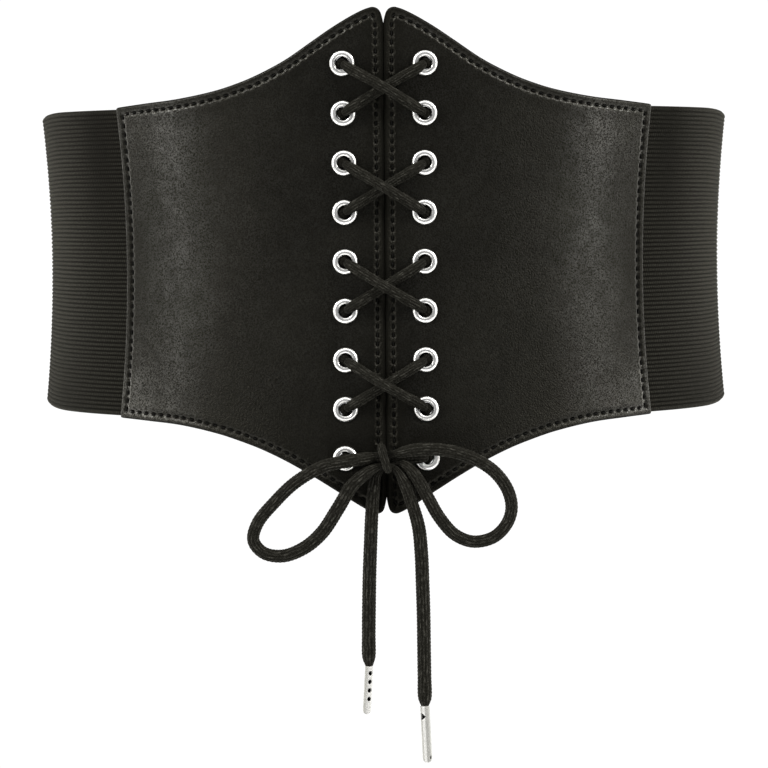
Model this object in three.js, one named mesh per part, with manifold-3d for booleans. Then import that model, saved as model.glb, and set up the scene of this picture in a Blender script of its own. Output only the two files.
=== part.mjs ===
// Lace-up corset belt: two curved front panels, a wide elastic round the back, eyelets,
// a lace that crosses between them, and the bow that it is tied in, with an aglet on each end.
// Millimetres, +Z up. The origin is the centre of the wearer's waist, and the front faces -Y.
import * as THREE from 'three';
import { mergeVertices } from 'three/addons/utils/BufferGeometryUtils.js';
import Module from 'manifold-3d';

const wasm = await Module();
wasm.setup();

// Waist form: an ellipse at mid height, wider above and below
const waistHalfWidth = 137.7;
const waistHalfDepth = 91;
const flareWidth = 3;
const flareDepth = 1.6;
const flareHeight = 58;

// Walls, all measured outwards from the waist form
const elasticWall = 1.6;
const leatherWall = 2;
const layerGap = 0.3;
const leatherInside = elasticWall + layerGap;
const leatherOutside = leatherInside + leatherWall;

// Front panels
const panelGirth = 108;
const panelGap = 0.8;
const panelSeamHeight = 61.3;
const panelPeak = 97.8;
const panelTip = 95.6;
const seamHollow = 1.2;
const notchWidth = 2.6;
const notchTop = 7;
const notchBottom = 12;
const notchCurve = 1.6;
const panelColumns = 13;
const panelRows = 11;
const panelCrowding = 1.25;

// Elastic
const elasticHalfHeight = 60.3;
const elasticOverlap = 12;
const elasticSideDip = 3.6;
const sideDipStart = THREE.MathUtils.degToRad(66);
const sideDipEnd = THREE.MathUtils.degToRad(104);
const elasticColumns = 40;
const elasticRows = 7;

// Lace
const laceRadius = 2.3;
const laceSides = 8;
const laceGap = 0.3;
const laceBendAngles = [0, 30, 60, 90];
const laceCrossingShares = [0.36, 0.5, 0.64];
const laceShoulderDrop = 1;

// Eyelets
const eyeletsPerSide = 9;
const eyeletTopMargin = 21.3;
const eyeletBottomMargin = 20.5;
const eyeletGirth = 15.3;
const eyeletBore = laceRadius + 0.4;
const eyeletBarrelWall = 0.4;
const eyeletFlangeWidth = 2.1;
const eyeletFlangeHeight = 1.3;
const eyeletBackWidth = 1.6;
const eyeletBackHeight = 0.8;
const eyeletSeat = 0.3;
const eyeletHoleGap = 0.4;
const eyeletSides = 12;

// Bow: the wrap of its knot, and the aglets on its ends
const wrapRadius = 1.5;
const wrapHalfHeight = 5.3;
const wrapHalfDepth = 5.6;
const wrapCentreUp = 0;
const wrapCentreOut = 8;
const wrapSlant = 12;
const wrapCorner = 3.2;
const wrapSteps = 20;
const leftAglet = { length: 18.7, radius: 1.45 };
const rightAglet = { length: 22, radius: 1.65 };
const agletSides = 12;

// Where the lace lies from each lowest eyelet, through the knot and round its loop to the loose end.
// x, up and out are from the point midway between the two lowest eyelets; thick is a share of laceRadius.
const leftLoopRoute = [
  { x: 8.2, up: 0, out: 4.2, thick: 0.86 },
  { x: 5.4, up: 0, out: 4.4, thick: 0.66 },
  { x: 2.9, up: 0, out: 5.4, thick: 0.48 },
  { x: 1.2, up: -0.1, out: 6.6, thick: 0.46 },
  { x: -0.6, up: 0, out: 7.9, thick: 0.46 },
  { x: -2.6, up: 0.8, out: 9.1, thick: 0.52 },
  { x: -4.8, up: 1.5, out: 10, thick: 0.7 },
  { x: -7.6, up: 1.1, out: 10.3, thick: 0.94 },
  { x: -14.6, up: -0.4, out: 10.2, thick: 1 },
  { x: -23.3, up: -2.6, out: 9.6, thick: 1 },
  { x: -33.4, up: -9, out: 8.4, thick: 1 },
  { x: -42, up: -17.4, out: 6.6, thick: 1 },
  { x: -48.6, up: -25.2, out: 5.4, thick: 1 },
  { x: -50.4, up: -31.6, out: 4.9, thick: 1 },
  { x: -46.9, up: -36.8, out: 4.6, thick: 1 },
  { x: -39.5, up: -38.2, out: 4.7, thick: 1 },
  { x: -31, up: -35, out: 5.3, thick: 1 },
  { x: -24, up: -28.6, out: 6.3, thick: 1 },
  { x: -18, up: -19, out: 7.8, thick: 1 },
  { x: -12.6, up: -9.6, out: 9.6, thick: 1 },
  { x: -8, up: -4.8, out: 10.6, thick: 0.95 },
  { x: -4.6, up: -2.7, out: 11, thick: 0.7 },
  { x: -2.2, up: -2, out: 10.8, thick: 0.5 },
  { x: 0, up: -2, out: 10.5, thick: 0.46 },
  { x: 2.4, up: -2.4, out: 10.4, thick: 0.48 },
  { x: 4.8, up: -4.9, out: 10.2, thick: 0.7 },
  { x: 7.1, up: -9, out: 9.2, thick: 1 },
  { x: 9.6, up: -16.4, out: 8, thick: 1 },
  { x: 12, up: -26, out: 7, thick: 1 },
  { x: 13.3, up: -36.4, out: 6.4, thick: 1 },
  { x: 14, up: -48, out: 6, thick: 1 },
  { x: 14.5, up: -60, out: 5.8, thick: 1 },
  { x: 15, up: -72, out: 5.7, thick: 1 },
  { x: 15.3, up: -84, out: 5.6, thick: 1 },
  { x: 15.6, up: -92, out: 5.6, thick: 1 },
  { x: 15.7, up: -95.6, out: 5.6, thick: 0.6 },
];
const rightLoopRoute = [
  { x: -8.2, up: 0.2, out: 3.9, thick: 0.86 },
  { x: -5.4, up: 1, out: 4.1, thick: 0.66 },
  { x: -3.1, up: 1.8, out: 5.1, thick: 0.5 },
  { x: -1.5, up: 2.2, out: 6.3, thick: 0.46 },
  { x: 0.2, up: 2.4, out: 7.6, thick: 0.46 },
  { x: 2.2, up: 2.5, out: 9.1, thick: 0.5 },
  { x: 4.6, up: 3, out: 10.2, thick: 0.7 },
  { x: 9.3, up: 4, out: 10.6, thick: 0.98 },
  { x: 16.1, up: 4.4, out: 10.5, thick: 1 },
  { x: 25.5, up: 3.3, out: 9.9, thick: 1 },
  { x: 34.8, up: -0.2, out: 8.6, thick: 1 },
  { x: 41.8, up: -5.2, out: 7.2, thick: 1 },
  { x: 46.6, up: -12.2, out: 6.2, thick: 1 },
  { x: 48, up: -19.2, out: 5.6, thick: 1 },
  { x: 46, up: -25.4, out: 5.3, thick: 1 },
  { x: 40.9, up: -30.4, out: 5, thick: 1 },
  { x: 33.2, up: -32, out: 5, thick: 1 },
  { x: 26.2, up: -29.2, out: 5.5, thick: 1 },
  { x: 20.4, up: -22.6, out: 6.6, thick: 1 },
  { x: 15.6, up: -14, out: 8.2, thick: 1 },
  { x: 11.4, up: -6.4, out: 9.6, thick: 0.96 },
  { x: 7.4, up: -1.9, out: 9.7, thick: 0.78 },
  { x: 4.3, up: -1.1, out: 8.4, thick: 0.56 },
  { x: 2.4, up: -2.4, out: 7, thick: 0.47 },
  { x: 0.3, up: -2.4, out: 5.5, thick: 0.46 },
  { x: -1.9, up: -3.6, out: 4.8, thick: 0.52 },
  { x: -3.9, up: -6.2, out: 4.5, thick: 0.78 },
  { x: -4.9, up: -11.4, out: 4.5, thick: 1 },
  { x: -5.3, up: -20, out: 4.6, thick: 1 },
  { x: -5.6, up: -32, out: 4.7, thick: 1 },
  { x: -5.9, up: -44, out: 4.8, thick: 1 },
  { x: -6.1, up: -56, out: 4.9, thick: 1 },
  { x: -6.3, up: -68, out: 5, thick: 1 },
  { x: -6.4, up: -76, out: 5, thick: 1 },
  { x: -6.4, up: -80, out: 5, thick: 0.52 },
];

const materials = {
  leather: new THREE.MeshStandardMaterial({ color: 0x1c1b18, roughness: 0.55, metalness: 0 }),
  elastic: new THREE.MeshStandardMaterial({ color: 0x2c2c29, roughness: 0.9, metalness: 0 }),
  lace: new THREE.MeshStandardMaterial({ color: 0x2a2a27, roughness: 0.85, metalness: 0 }),
  metal: new THREE.MeshStandardMaterial({ color: 0xc9c9c8, roughness: 0.25, metalness: 1 }),
};

// Waist form

// The point at this angle round the waist (0 is the front, 90 degrees is +X), this height
// and this far outwards from the form.
function waistPoint(angle, z, outwards) {
  const flare = (z / flareHeight) ** 2;
  const halfWidth = waistHalfWidth + flareWidth * flare;
  const halfDepth = waistHalfDepth + flareDepth * flare;
  const normal = new THREE.Vector3(halfDepth * Math.sin(angle), -halfWidth * Math.cos(angle), 0).normalize();
  const onForm = new THREE.Vector3(halfWidth * Math.sin(angle), -halfDepth * Math.cos(angle), z);
  return onForm.addScaledVector(normal, outwards);
}

// How far the leather's outside has run from the centre front at each angle round the waist
const girthTable = [{ angle: 0, girth: 0 }];
for (let degrees = 0.25; degrees < 90; degrees += 0.25) {
  const last = girthTable[girthTable.length - 1];
  const angle = THREE.MathUtils.degToRad(degrees);
  const stride = waistPoint(angle, 0, leatherOutside).distanceTo(waistPoint(last.angle, 0, leatherOutside));
  girthTable.push({ angle, girth: last.girth + stride });
}

function girthToAngle(girth) {
  const next = girthTable.findIndex((row) => row.girth > Math.abs(girth));
  const from = girthTable[next - 1];
  const to = girthTable[next];
  const share = (Math.abs(girth) - from.girth) / (to.girth - from.girth);
  return Math.sign(girth) * THREE.MathUtils.lerp(from.angle, to.angle, share);
}

// Front panels

// Outline of a panel from the centre front to the seam: rise and drop are the shares of the
// peak's and the tip's height above and below the seam's corners
const panelOutline = [
  { girth: 0, rise: 1, drop: 1 },
  { girth: 0.035, rise: 1, drop: 0.99 },
  { girth: 0.08, rise: 0.95, drop: 0.92 },
  { girth: 0.16, rise: 0.81, drop: 0.76 },
  { girth: 0.24, rise: 0.648, drop: 0.605 },
  { girth: 0.33, rise: 0.468, drop: 0.447 },
  { girth: 0.42, rise: 0.33, drop: 0.316 },
  { girth: 0.5, rise: 0.234, drop: 0.225 },
  { girth: 0.6, rise: 0.148, drop: 0.135 },
  { girth: 0.74, rise: 0.075, drop: 0.055 },
  { girth: 0.88, rise: 0.034, drop: 0.02 },
  { girth: 1, rise: 0, drop: 0 },
];

function readOutline(share, column) {
  const next = Math.max(1, panelOutline.findIndex((row) => row.girth >= share));
  const from = panelOutline[next - 1];
  const to = panelOutline[next];
  const before = panelOutline[Math.max(0, next - 2)];
  const after = panelOutline[Math.min(panelOutline.length - 1, next + 1)];
  const span = to.girth - from.girth;
  const t = (share - from.girth) / span;
  const slopeFrom = ((to[column] - before[column]) / Math.max(to.girth - before.girth, span)) * span;
  const slopeTo = ((after[column] - from[column]) / Math.max(after.girth - from.girth, span)) * span;
  const blend = t * t * (3 - 2 * t);
  return from[column] * (1 - blend) + to[column] * blend
    + slopeFrom * t * (1 - t) ** 2 - slopeTo * t * t * (1 - t);
}

// How far the centre edge leans away from the other panel, for the notch at each end of the gap
function notchLean(z) {
  const top = THREE.MathUtils.clamp((z - (panelPeak - notchTop)) / notchTop, 0, 1);
  const bottom = THREE.MathUtils.clamp((-z - (panelTip - notchBottom)) / notchBottom, 0, 1);
  return notchWidth * Math.max(top, bottom) ** notchCurve;
}

function mapPanelPoint(point, side) {
  const across = (point.x + 0.5) ** panelCrowding;
  const upwards = 0.5 - 0.5 * Math.cos(Math.PI * (point.y + 0.5));
  const top = panelSeamHeight + (panelPeak - panelSeamHeight) * readOutline(across, 'rise');
  const bottom = -panelSeamHeight - (panelTip - panelSeamHeight) * readOutline(across, 'drop');
  const z = bottom + (top - bottom) * upwards;
  const seam = panelGirth + seamHollow * (z / panelSeamHeight) ** 2;
  const centreEdge = panelGap / 2;
  const firstColumn = (1 / panelColumns) ** panelCrowding;
  const lean = notchLean(z) * Math.max(0, 1 - across / firstColumn);
  const girth = centreEdge + lean + (seam - centreEdge) * across;
  const outwards = leatherInside + leatherWall * (point.z + 0.5);
  return waistPoint(side * girthToAngle(girth), z, outwards);
}

function mapGeometry(geometry, map) {
  const position = geometry.attributes.position;
  const point = new THREE.Vector3();
  for (let i = 0; i < position.count; i++) {
    const mapped = map(point.fromBufferAttribute(position, i));
    position.setXYZ(i, mapped.x, mapped.y, mapped.z);
  }
  return geometry;
}

function turnInsideOut(geometry) {
  const index = geometry.index.array;
  for (let i = 0; i < index.length; i += 3) {
    [index[i + 1], index[i + 2]] = [index[i + 2], index[i + 1]];
  }
  return geometry;
}

function toManifold(geometry) {
  const bare = geometry.clone();
  bare.deleteAttribute('normal');
  bare.deleteAttribute('uv');
  const merged = mergeVertices(bare, 1e-4);
  return new wasm.Manifold(new wasm.Mesh({
    numProp: 3,
    vertProperties: new Float32Array(merged.attributes.position.array),
    triVerts: new Uint32Array(merged.index.array),
  }));
}

function fromManifold(solid) {
  const { vertProperties, triVerts } = solid.getMesh();
  const geometry = new THREE.BufferGeometry();
  geometry.setAttribute('position', new THREE.BufferAttribute(vertProperties, 3));
  geometry.setIndex(new THREE.BufferAttribute(triVerts, 1));
  geometry.computeVertexNormals();
  return geometry;
}

// Eyelets

// Where an eyelet sits on the leather: its place on the waist, its point, and its outward axis
function eyeletSeatAt(side, row) {
  const top = panelPeak - eyeletTopMargin;
  const bottom = eyeletBottomMargin - panelTip;
  const z = THREE.MathUtils.lerp(top, bottom, row / (eyeletsPerSide - 1));
  const angle = side * girthToAngle(eyeletGirth);
  const nudge = 0.01;
  const point = waistPoint(angle, z, leatherOutside);
  const along = waistPoint(angle + nudge, z, leatherOutside).sub(point);
  const up = waistPoint(angle, z + nudge, leatherOutside).sub(point);
  const outward = along.cross(up).normalize();
  const turn = new THREE.Quaternion().setFromUnitVectors(new THREE.Vector3(0, 1, 0), outward);
  return { angle, z, point, outward, turn };
}

const eyeletSeats = { left: [], right: [] };
for (let row = 0; row < eyeletsPerSide; row++) {
  eyeletSeats.left.push(eyeletSeatAt(-1, row));
  eyeletSeats.right.push(eyeletSeatAt(1, row));
}

// A turned ring: rounded flange in front of the leather, barrel through it, clinched rim behind
function makeEyeletGeometry() {
  const barrel = eyeletBore + eyeletBarrelWall;
  const behind = -leatherWall - eyeletSeat;
  const profile = [
    [eyeletBore, behind - eyeletBackHeight],
    [eyeletBore + eyeletBackWidth, behind],
    [barrel, behind],
    [barrel, eyeletSeat],
    [eyeletBore + eyeletFlangeWidth, eyeletSeat],
    [eyeletBore + eyeletFlangeWidth / 2, eyeletFlangeHeight],
    [eyeletBore, eyeletFlangeHeight / 2],
    [eyeletBore, behind - eyeletBackHeight],
  ];
  return new THREE.LatheGeometry(profile.map(([radius, height]) => new THREE.Vector2(radius, height)), eyeletSides);
}

function makePanel(side) {
  const blank = mapGeometry(
    new THREE.BoxGeometry(1, 1, 1, panelColumns, panelRows, 1),
    (point) => mapPanelPoint(point, side),
  );
  let solid = toManifold(side > 0 ? blank : turnInsideOut(blank));
  const holeRadius = eyeletBore + eyeletBarrelWall + eyeletHoleGap;
  for (const seat of side > 0 ? eyeletSeats.right : eyeletSeats.left) {
    const drill = new THREE.CylinderGeometry(holeRadius, holeRadius, 6 * leatherWall, eyeletSides)
      .applyQuaternion(seat.turn)
      .translate(seat.point.x, seat.point.y, seat.point.z);
    solid = solid.subtract(toManifold(drill));
  }
  return fromManifold(solid);
}

// Elastic: one band from behind one panel's seam, round the back, to behind the other's
function makeElastic() {
  const startAngle = girthToAngle(panelGirth - elasticOverlap);
  return mapGeometry(new THREE.BoxGeometry(1, 1, 1, elasticColumns, elasticRows, 1), (point) => {
    const angle = THREE.MathUtils.lerp(startAngle, 2 * Math.PI - startAngle, point.x + 0.5);
    const fromFront = Math.PI - Math.abs(angle - Math.PI);
    const dip = elasticSideDip * THREE.MathUtils.smoothstep(fromFront, sideDipStart, sideDipEnd);
    const z = 2 * point.y * (elasticHalfHeight - dip);
    return waistPoint(angle, z, elasticWall * (point.z + 0.5));
  });
}

// Lace

// A curve with a station at each of its points, so that a tube along it has one ring of vertices there
class StationCurve extends THREE.CatmullRomCurve3 {
  getPointAt(u, target) {
    return this.getPoint(u, target);
  }

  getTangentAt(u, target) {
    return this.getTangent(u, target);
  }
}

// A tube through the stations { point, thick }, where thick scales its radius
function makeLaceGeometry(stations) {
  const section = new THREE.Shape();
  for (let i = 0; i < laceSides; i++) {
    const angle = (2 * Math.PI * (i + 0.5)) / laceSides;
    const corner = [laceRadius * Math.cos(angle), laceRadius * Math.sin(angle)];
    if (i === 0) {
      section.moveTo(...corner);
    } else {
      section.lineTo(...corner);
    }
  }
  const path = new StationCurve(stations.map((station) => station.point), false, 'centripetal');
  const steps = stations.length - 1;
  const tube = new THREE.ExtrudeGeometry(section, { steps, extrudePath: path, bevelEnabled: false });
  if (stations.every((station) => station.thick === 1)) {
    return tube;
  }
  const tangents = stations.map((station, i) => path.getTangent(i / steps));
  return mapGeometry(tube, (corner) => {
    const station = stations[ringOf(corner, stations, tangents)];
    return corner.clone().lerp(station.point, 1 - station.thick);
  });
}

// The ring that a tube's corner belongs to: its station is one radius away, square to the path
function ringOf(corner, stations, tangents) {
  const spoke = new THREE.Vector3();
  return stations.findIndex((station, i) => {
    spoke.subVectors(corner, station.point);
    return Math.abs(spoke.length() - laceRadius) < 1e-3 && Math.abs(spoke.dot(tangents[i])) < 1e-3;
  });
}

// The quarter turn that the lace makes over an eyelet's rim, from its hole towards another point.
// face is 1 in front of the leather and -1 behind it.
function rimBend(seat, towards, face) {
  const bendRadius = laceRadius + laceGap + eyeletFlangeHeight - eyeletSeat;
  const rimHeight = face > 0 ? eyeletSeat : -leatherWall - eyeletSeat;
  const heading = towards.clone().sub(seat.point);
  const along = heading.addScaledVector(seat.outward, -heading.dot(seat.outward)).normalize();
  const centre = seat.point.clone().addScaledVector(seat.outward, rimHeight).addScaledVector(along, bendRadius);
  return laceBendAngles.map((degrees) => {
    const angle = THREE.MathUtils.degToRad(degrees);
    return centre.clone()
      .addScaledVector(along, -bendRadius * Math.cos(angle))
      .addScaledVector(seat.outward, face * bendRadius * Math.sin(angle));
  });
}

// The middle of a run across the front: the strand that starts upper left lies over the other one
function crossingPoints(from, to) {
  const upper = from.z > to.z ? from : to;
  const under = laceRadius + laceGap;
  const over = under + 2 * laceRadius + laceGap;
  const isOver = upper.angle < 0;
  return laceCrossingShares.map((share) => {
    const height = isOver ? over - (share === 0.5 ? 0 : laceShoulderDrop) : under;
    const angle = THREE.MathUtils.lerp(from.angle, to.angle, share);
    const z = THREE.MathUtils.lerp(from.z, to.z, share);
    return waistPoint(angle, z, leatherOutside + height);
  });
}

// The holes that the lace goes through, from the lowest right one up to the top and down to the lowest left
// one. Its runs between them lie behind and in front by turns, and those in front change sides.
function lacingHoles() {
  const holes = [{ side: 'right', row: eyeletsPerSide - 1 }];
  for (let run = 0; run < 2 * eyeletsPerSide - 1; run++) {
    const { side, row } = holes[run];
    const isTop = run === eyeletsPerSide - 1;
    const rowStep = isTop ? 0 : Math.sign(run - eyeletsPerSide + 1);
    const crosses = isTop || isFrontRun(run);
    const otherSide = side === 'right' ? 'left' : 'right';
    holes.push({ side: crosses ? otherSide : side, row: row + rowStep });
  }
  return holes.map(({ side, row }) => eyeletSeats[side][row]);
}

function isFrontRun(run) {
  return run % 2 === 1;
}

function makeLacingStations() {
  const holes = lacingHoles();
  const points = [laceMeeting(holes[0])];
  for (let run = 0; run < holes.length - 1; run++) {
    const [from, to] = [holes[run], holes[run + 1]];
    const face = isFrontRun(run) ? 1 : -1;
    points.push(...rimBend(from, to.point, face));
    if (isFrontRun(run)) {
      points.push(...crossingPoints(from, to));
    }
    points.push(...rimBend(to, from.point, face).reverse());
  }
  points.push(laceMeeting(holes[holes.length - 1]));
  return points.map((point) => ({ point, thick: 1 }));
}

// Where the held lace ends inside the lowest eyelet, and the loose lace begins one gap further out
function laceMeeting(seat) {
  return seat.point.clone().addScaledVector(seat.outward, -leatherWall / 2);
}

// The loose lace from its eyelet over the rim and along its route from the knot's centre
function makeLooseStations(seat, opposite, knot, route) {
  const start = laceMeeting(seat).addScaledVector(seat.outward, laceGap);
  const overRim = rimBend(seat, opposite.point, 1);
  const rest = route.map((row) => ({
    point: new THREE.Vector3(knot.x + row.x, knot.y - row.out, knot.z + row.up),
    thick: row.thick,
  }));
  return [...[start, ...overRim].map((point) => ({ point, thick: 1 })), ...rest];
}

// The wrap round the knot: a closed ring of lace, a rounded rectangle seen from the side
function makeWrapGeometry() {
  const unitTube = 0.4;
  const smallTurn = 0.02;
  const scale = wrapRadius / unitTube;
  const rounded = (value) => Math.sign(value) * Math.abs(value) ** (2 / wrapCorner);
  const centreline = (turn) => new THREE.Vector3(
    0,
    wrapHalfDepth * rounded(Math.cos(turn)),
    wrapHalfHeight * rounded(Math.sin(turn)),
  );
  return mapGeometry(new THREE.TorusGeometry(1, unitTube, laceSides, wrapSteps), (point) => {
    const turn = Math.atan2(point.y, point.x);
    const spread = Math.hypot(point.x, point.y) - 1;
    const ahead = centreline(turn + smallTurn).sub(centreline(turn - smallTurn)).normalize();
    const outwards = new THREE.Vector3(0, ahead.z, -ahead.y);
    const mapped = centreline(turn).addScaledVector(outwards, spread * scale);
    mapped.x = point.z * scale;
    return mapped;
  });
}

function makeAgletGeometry({ length, radius }) {
  const tipRadius = 0.7 * radius;
  const profile = [[0, 0], [tipRadius, 0], [radius, radius / 2], [radius, length], [0, length]];
  return new THREE.LatheGeometry(profile.map(([across, height]) => new THREE.Vector2(across, height)), agletSides);
}

// An aglet on the end of a loose lace, one gap past its last station and in line with it
function placeAglet(mesh, stations, { length }) {
  const end = stations[stations.length - 1].point;
  const along = end.clone().sub(stations[stations.length - 3].point).normalize();
  mesh.quaternion.setFromUnitVectors(new THREE.Vector3(0, -1, 0), along);
  mesh.position.copy(end).addScaledVector(along, laceGap + length);
  return mesh;
}

function named(name, geometry, material) {
  const mesh = new THREE.Mesh(geometry, material);
  mesh.name = name;
  return mesh;
}

const belt = new THREE.Group();
belt.add(named('front_panel_left', makePanel(-1), materials.leather));
belt.add(named('front_panel_right', makePanel(1), materials.leather));
belt.add(named('elastic_band', makeElastic(), materials.elastic));

const eyeletGeometry = makeEyeletGeometry();
for (const side of ['left', 'right']) {
  eyeletSeats[side].forEach((seat, row) => {
    const eyelet = named(`eyelet_${side}_${row + 1}`, eyeletGeometry, materials.metal);
    eyelet.position.copy(seat.point);
    eyelet.quaternion.copy(seat.turn);
    belt.add(eyelet);
  });
}

belt.add(named('lacing', makeLaceGeometry(makeLacingStations()), materials.lace));

const lowestLeft = eyeletSeats.left[eyeletsPerSide - 1];
const lowestRight = eyeletSeats.right[eyeletsPerSide - 1];
const knot = lowestLeft.point.clone().add(lowestRight.point).multiplyScalar(0.5);
const leftLoop = makeLooseStations(lowestRight, lowestLeft, knot, leftLoopRoute);
const rightLoop = makeLooseStations(lowestLeft, lowestRight, knot, rightLoopRoute);
belt.add(named('lace_left_loop', makeLaceGeometry(leftLoop), materials.lace));
belt.add(named('lace_right_loop', makeLaceGeometry(rightLoop), materials.lace));

const wrap = named('knot_wrap', makeWrapGeometry(), materials.lace);
wrap.position.set(knot.x, knot.y - wrapCentreOut, knot.z + wrapCentreUp);
wrap.rotation.y = -THREE.MathUtils.degToRad(wrapSlant);
belt.add(wrap);

belt.add(placeAglet(named('aglet_left', makeAgletGeometry(leftAglet), materials.metal), rightLoop, leftAglet));
belt.add(placeAglet(named('aglet_right', makeAgletGeometry(rightAglet), materials.metal), leftLoop, rightAglet));

export default belt;
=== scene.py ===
"""Looks of the lace-up corset belt: leather panels, ribbed elastic, nickel eyelets and braided lace.

Shapes are worked out in millimetres, +Z up with the front facing -Y, and become meshes in metres.
"""
import math

import bpy
import numpy as np
from mathutils import Matrix, Vector
from mathutils.geometry import delaunay_2d_cdt


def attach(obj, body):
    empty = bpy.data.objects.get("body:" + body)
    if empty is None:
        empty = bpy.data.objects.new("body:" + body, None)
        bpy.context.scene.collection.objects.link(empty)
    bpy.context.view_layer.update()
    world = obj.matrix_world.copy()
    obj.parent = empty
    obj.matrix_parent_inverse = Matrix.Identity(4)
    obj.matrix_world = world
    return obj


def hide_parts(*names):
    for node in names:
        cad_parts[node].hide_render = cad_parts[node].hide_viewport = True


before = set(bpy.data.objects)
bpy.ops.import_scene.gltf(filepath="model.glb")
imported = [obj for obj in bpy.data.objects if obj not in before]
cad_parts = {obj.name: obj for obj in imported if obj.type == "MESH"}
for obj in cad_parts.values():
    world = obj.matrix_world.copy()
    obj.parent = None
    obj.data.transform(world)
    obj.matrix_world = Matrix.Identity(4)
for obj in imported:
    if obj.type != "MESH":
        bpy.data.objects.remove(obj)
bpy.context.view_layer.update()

MILLIMETRE = 0.001
FULL_TURN = 2 * math.pi
SIDEWAYS = np.array([1.0, 0, 0])
UPRIGHT = np.array([0, 0, 1.0])

# Waist form: an ellipse at mid height, wider above and below
WAIST_HALF_WIDTH = 138
WAIST_HALF_DEPTH = 91
FLARE_WIDTH = 3
FLARE_DEPTH = 1.6
FLARE_HEIGHT = 58

# Walls, all measured outwards from the waist form
ELASTIC_WALL = 1.6
LEATHER_WALL = 2
LEATHER_INSIDE = 1.9
LEATHER_OUTSIDE = 3.9
LEATHER_MIDDLE = 2.9

# Front panels
PANEL_GIRTH = 108
SEAM_HEIGHT = 61.3
PEAK_HEIGHT = 97.8
TIP_HEIGHT = 96.8
SEAM_HOLLOW = 1.2
NOTCH_TOP_HALF_WIDTH = 1.7
NOTCH_TOP = 6.5
NOTCH_BOTTOM_HALF_WIDTH = 1.6
NOTCH_BOTTOM = 7
NOTCH_CURVE = 1.5

# Outline of a panel from the centre front to the seam: shares of its girth, and of the peak's and the
# tip's height above and below the seam's corners
OUTLINE_GIRTH = (0, 0.035, 0.08, 0.16, 0.24, 0.33, 0.42, 0.5, 0.6, 0.74, 0.88, 1)
OUTLINE_RISE = (1, 1, 0.95, 0.81, 0.648, 0.468, 0.33, 0.234, 0.148, 0.075, 0.034, 0)
OUTLINE_DROP = (1, 0.99, 0.92, 0.76, 0.605, 0.447, 0.316, 0.225, 0.135, 0.055, 0.02, 0)

# Elastic
ELASTIC_HALF_HEIGHT = 60.3
ELASTIC_OVERLAP = 12
ELASTIC_SIDE_DIP = 3.6
SIDE_DIP_ANGLES = (math.radians(66), math.radians(104))
RIB_COUNT = 72
RIB_PHASES = (0, 0.17, 0.5, 0.83)

# Lace and eyelets
LACE_RADIUS = 2.3
LACE_GAP = 0.3
LACE_DIAMETER = 4.9
EYELETS_PER_SIDE = 9
EYELET_TOP = 76.5
EYELET_BOTTOM = -75.1
EYELET_GIRTH = 15.3
EYELET_SEAT = 0.3
FLANGE_HEIGHT = 1.3

# Where the lace lies from each lowest eyelet, through the knot and round its loop to the loose end:
# x, up and out from the point midway between the two lowest eyelets, and its share of the full thickness
LEFT_LOOP_ROUTE = (
    (8.2, 0, 4.2, 0.86), (5.4, 0, 4.4, 0.66), (2.9, 0, 5.4, 0.48), (1.2, -0.1, 6.6, 0.46),
    (-0.6, 0, 7.9, 0.46), (-2.6, 0.8, 9.1, 0.52), (-4.8, 1.5, 10, 0.7), (-7.6, 1.1, 10.3, 0.94),
    (-14.8, -0.1, 10.2, 1), (-24, -2, 9.6, 1), (-34.6, -8, 8.4, 1), (-43.3, -16.3, 6.6, 1),
    (-49.8, -24.4, 5.4, 1), (-51.4, -31, 4.9, 1), (-47.6, -35.8, 4.6, 1), (-40.3, -37.1, 4.7, 1.04),
    (-32, -34, 5.3, 1.08), (-25, -28, 6.3, 1.12), (-18.9, -18.8, 7.8, 1.12), (-13.2, -9.5, 9.6, 1.06),
    (-8, -4.8, 10.6, 0.95), (-4.6, -2.7, 11, 0.7), (-2.2, -2, 10.8, 0.5), (0, -2, 10.5, 0.46),
    (2.4, -2.4, 10.4, 0.48), (4.8, -4.9, 10.2, 0.7), (7.1, -9, 9.2, 1), (9.6, -16.4, 8, 1),
    (12.2, -26, 7, 1.06), (13.2, -36.4, 6.4, 1.08), (13.6, -48, 6, 1.09), (13.9, -60, 5.8, 1.09),
    (14, -72, 5.7, 1.09), (14.1, -84, 5.6, 1.09), (14.2, -92.8, 5.6, 1.06), (14.2, -95.6, 5.6, 0.64),
)
RIGHT_LOOP_ROUTE = (
    (-8.2, 0.2, 3.9, 0.86), (-5.4, 1, 4.1, 0.66), (-3.1, 1.8, 5.1, 0.5), (-1.5, 2.2, 6.3, 0.46),
    (0.2, 2.4, 7.6, 0.46), (2.2, 2.5, 9.1, 0.5), (4.6, 3, 10.2, 0.7), (9.3, 4, 10.6, 0.98),
    (16.1, 4.4, 10.5, 1), (25.5, 3.3, 9.9, 1), (34.8, -0.2, 8.6, 1), (41.8, -5.2, 7.2, 1),
    (46.6, -12.2, 6.2, 1), (48, -19.2, 5.6, 1), (46, -25.4, 5.3, 1), (40.9, -30.4, 5, 1),
    (33.2, -32, 5, 1), (26.2, -29.2, 5.5, 1), (20.4, -22.6, 6.6, 1), (15.6, -14, 8.2, 1),
    (11.4, -6.4, 9.6, 0.96), (7.4, -1.9, 9.7, 0.78), (4.3, -1.1, 8.4, 0.56), (2.4, -2.4, 7, 0.47),
    (0.3, -2.4, 5.5, 0.46), (-1.9, -3.6, 4.8, 0.52), (-3.9, -6.2, 4.5, 0.78), (-4.9, -11.4, 4.5, 1),
    (-5.7, -20, 4.6, 1.06), (-6.3, -32, 4.7, 1.08), (-6.8, -44, 4.8, 1.1), (-7.1, -56, 4.9, 1.11),
    (-7.3, -68, 5, 1.1), (-7.3, -76.8, 5, 1.05), (-7.2, -80, 5, 0.6),
)


# Places on the waist

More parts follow.
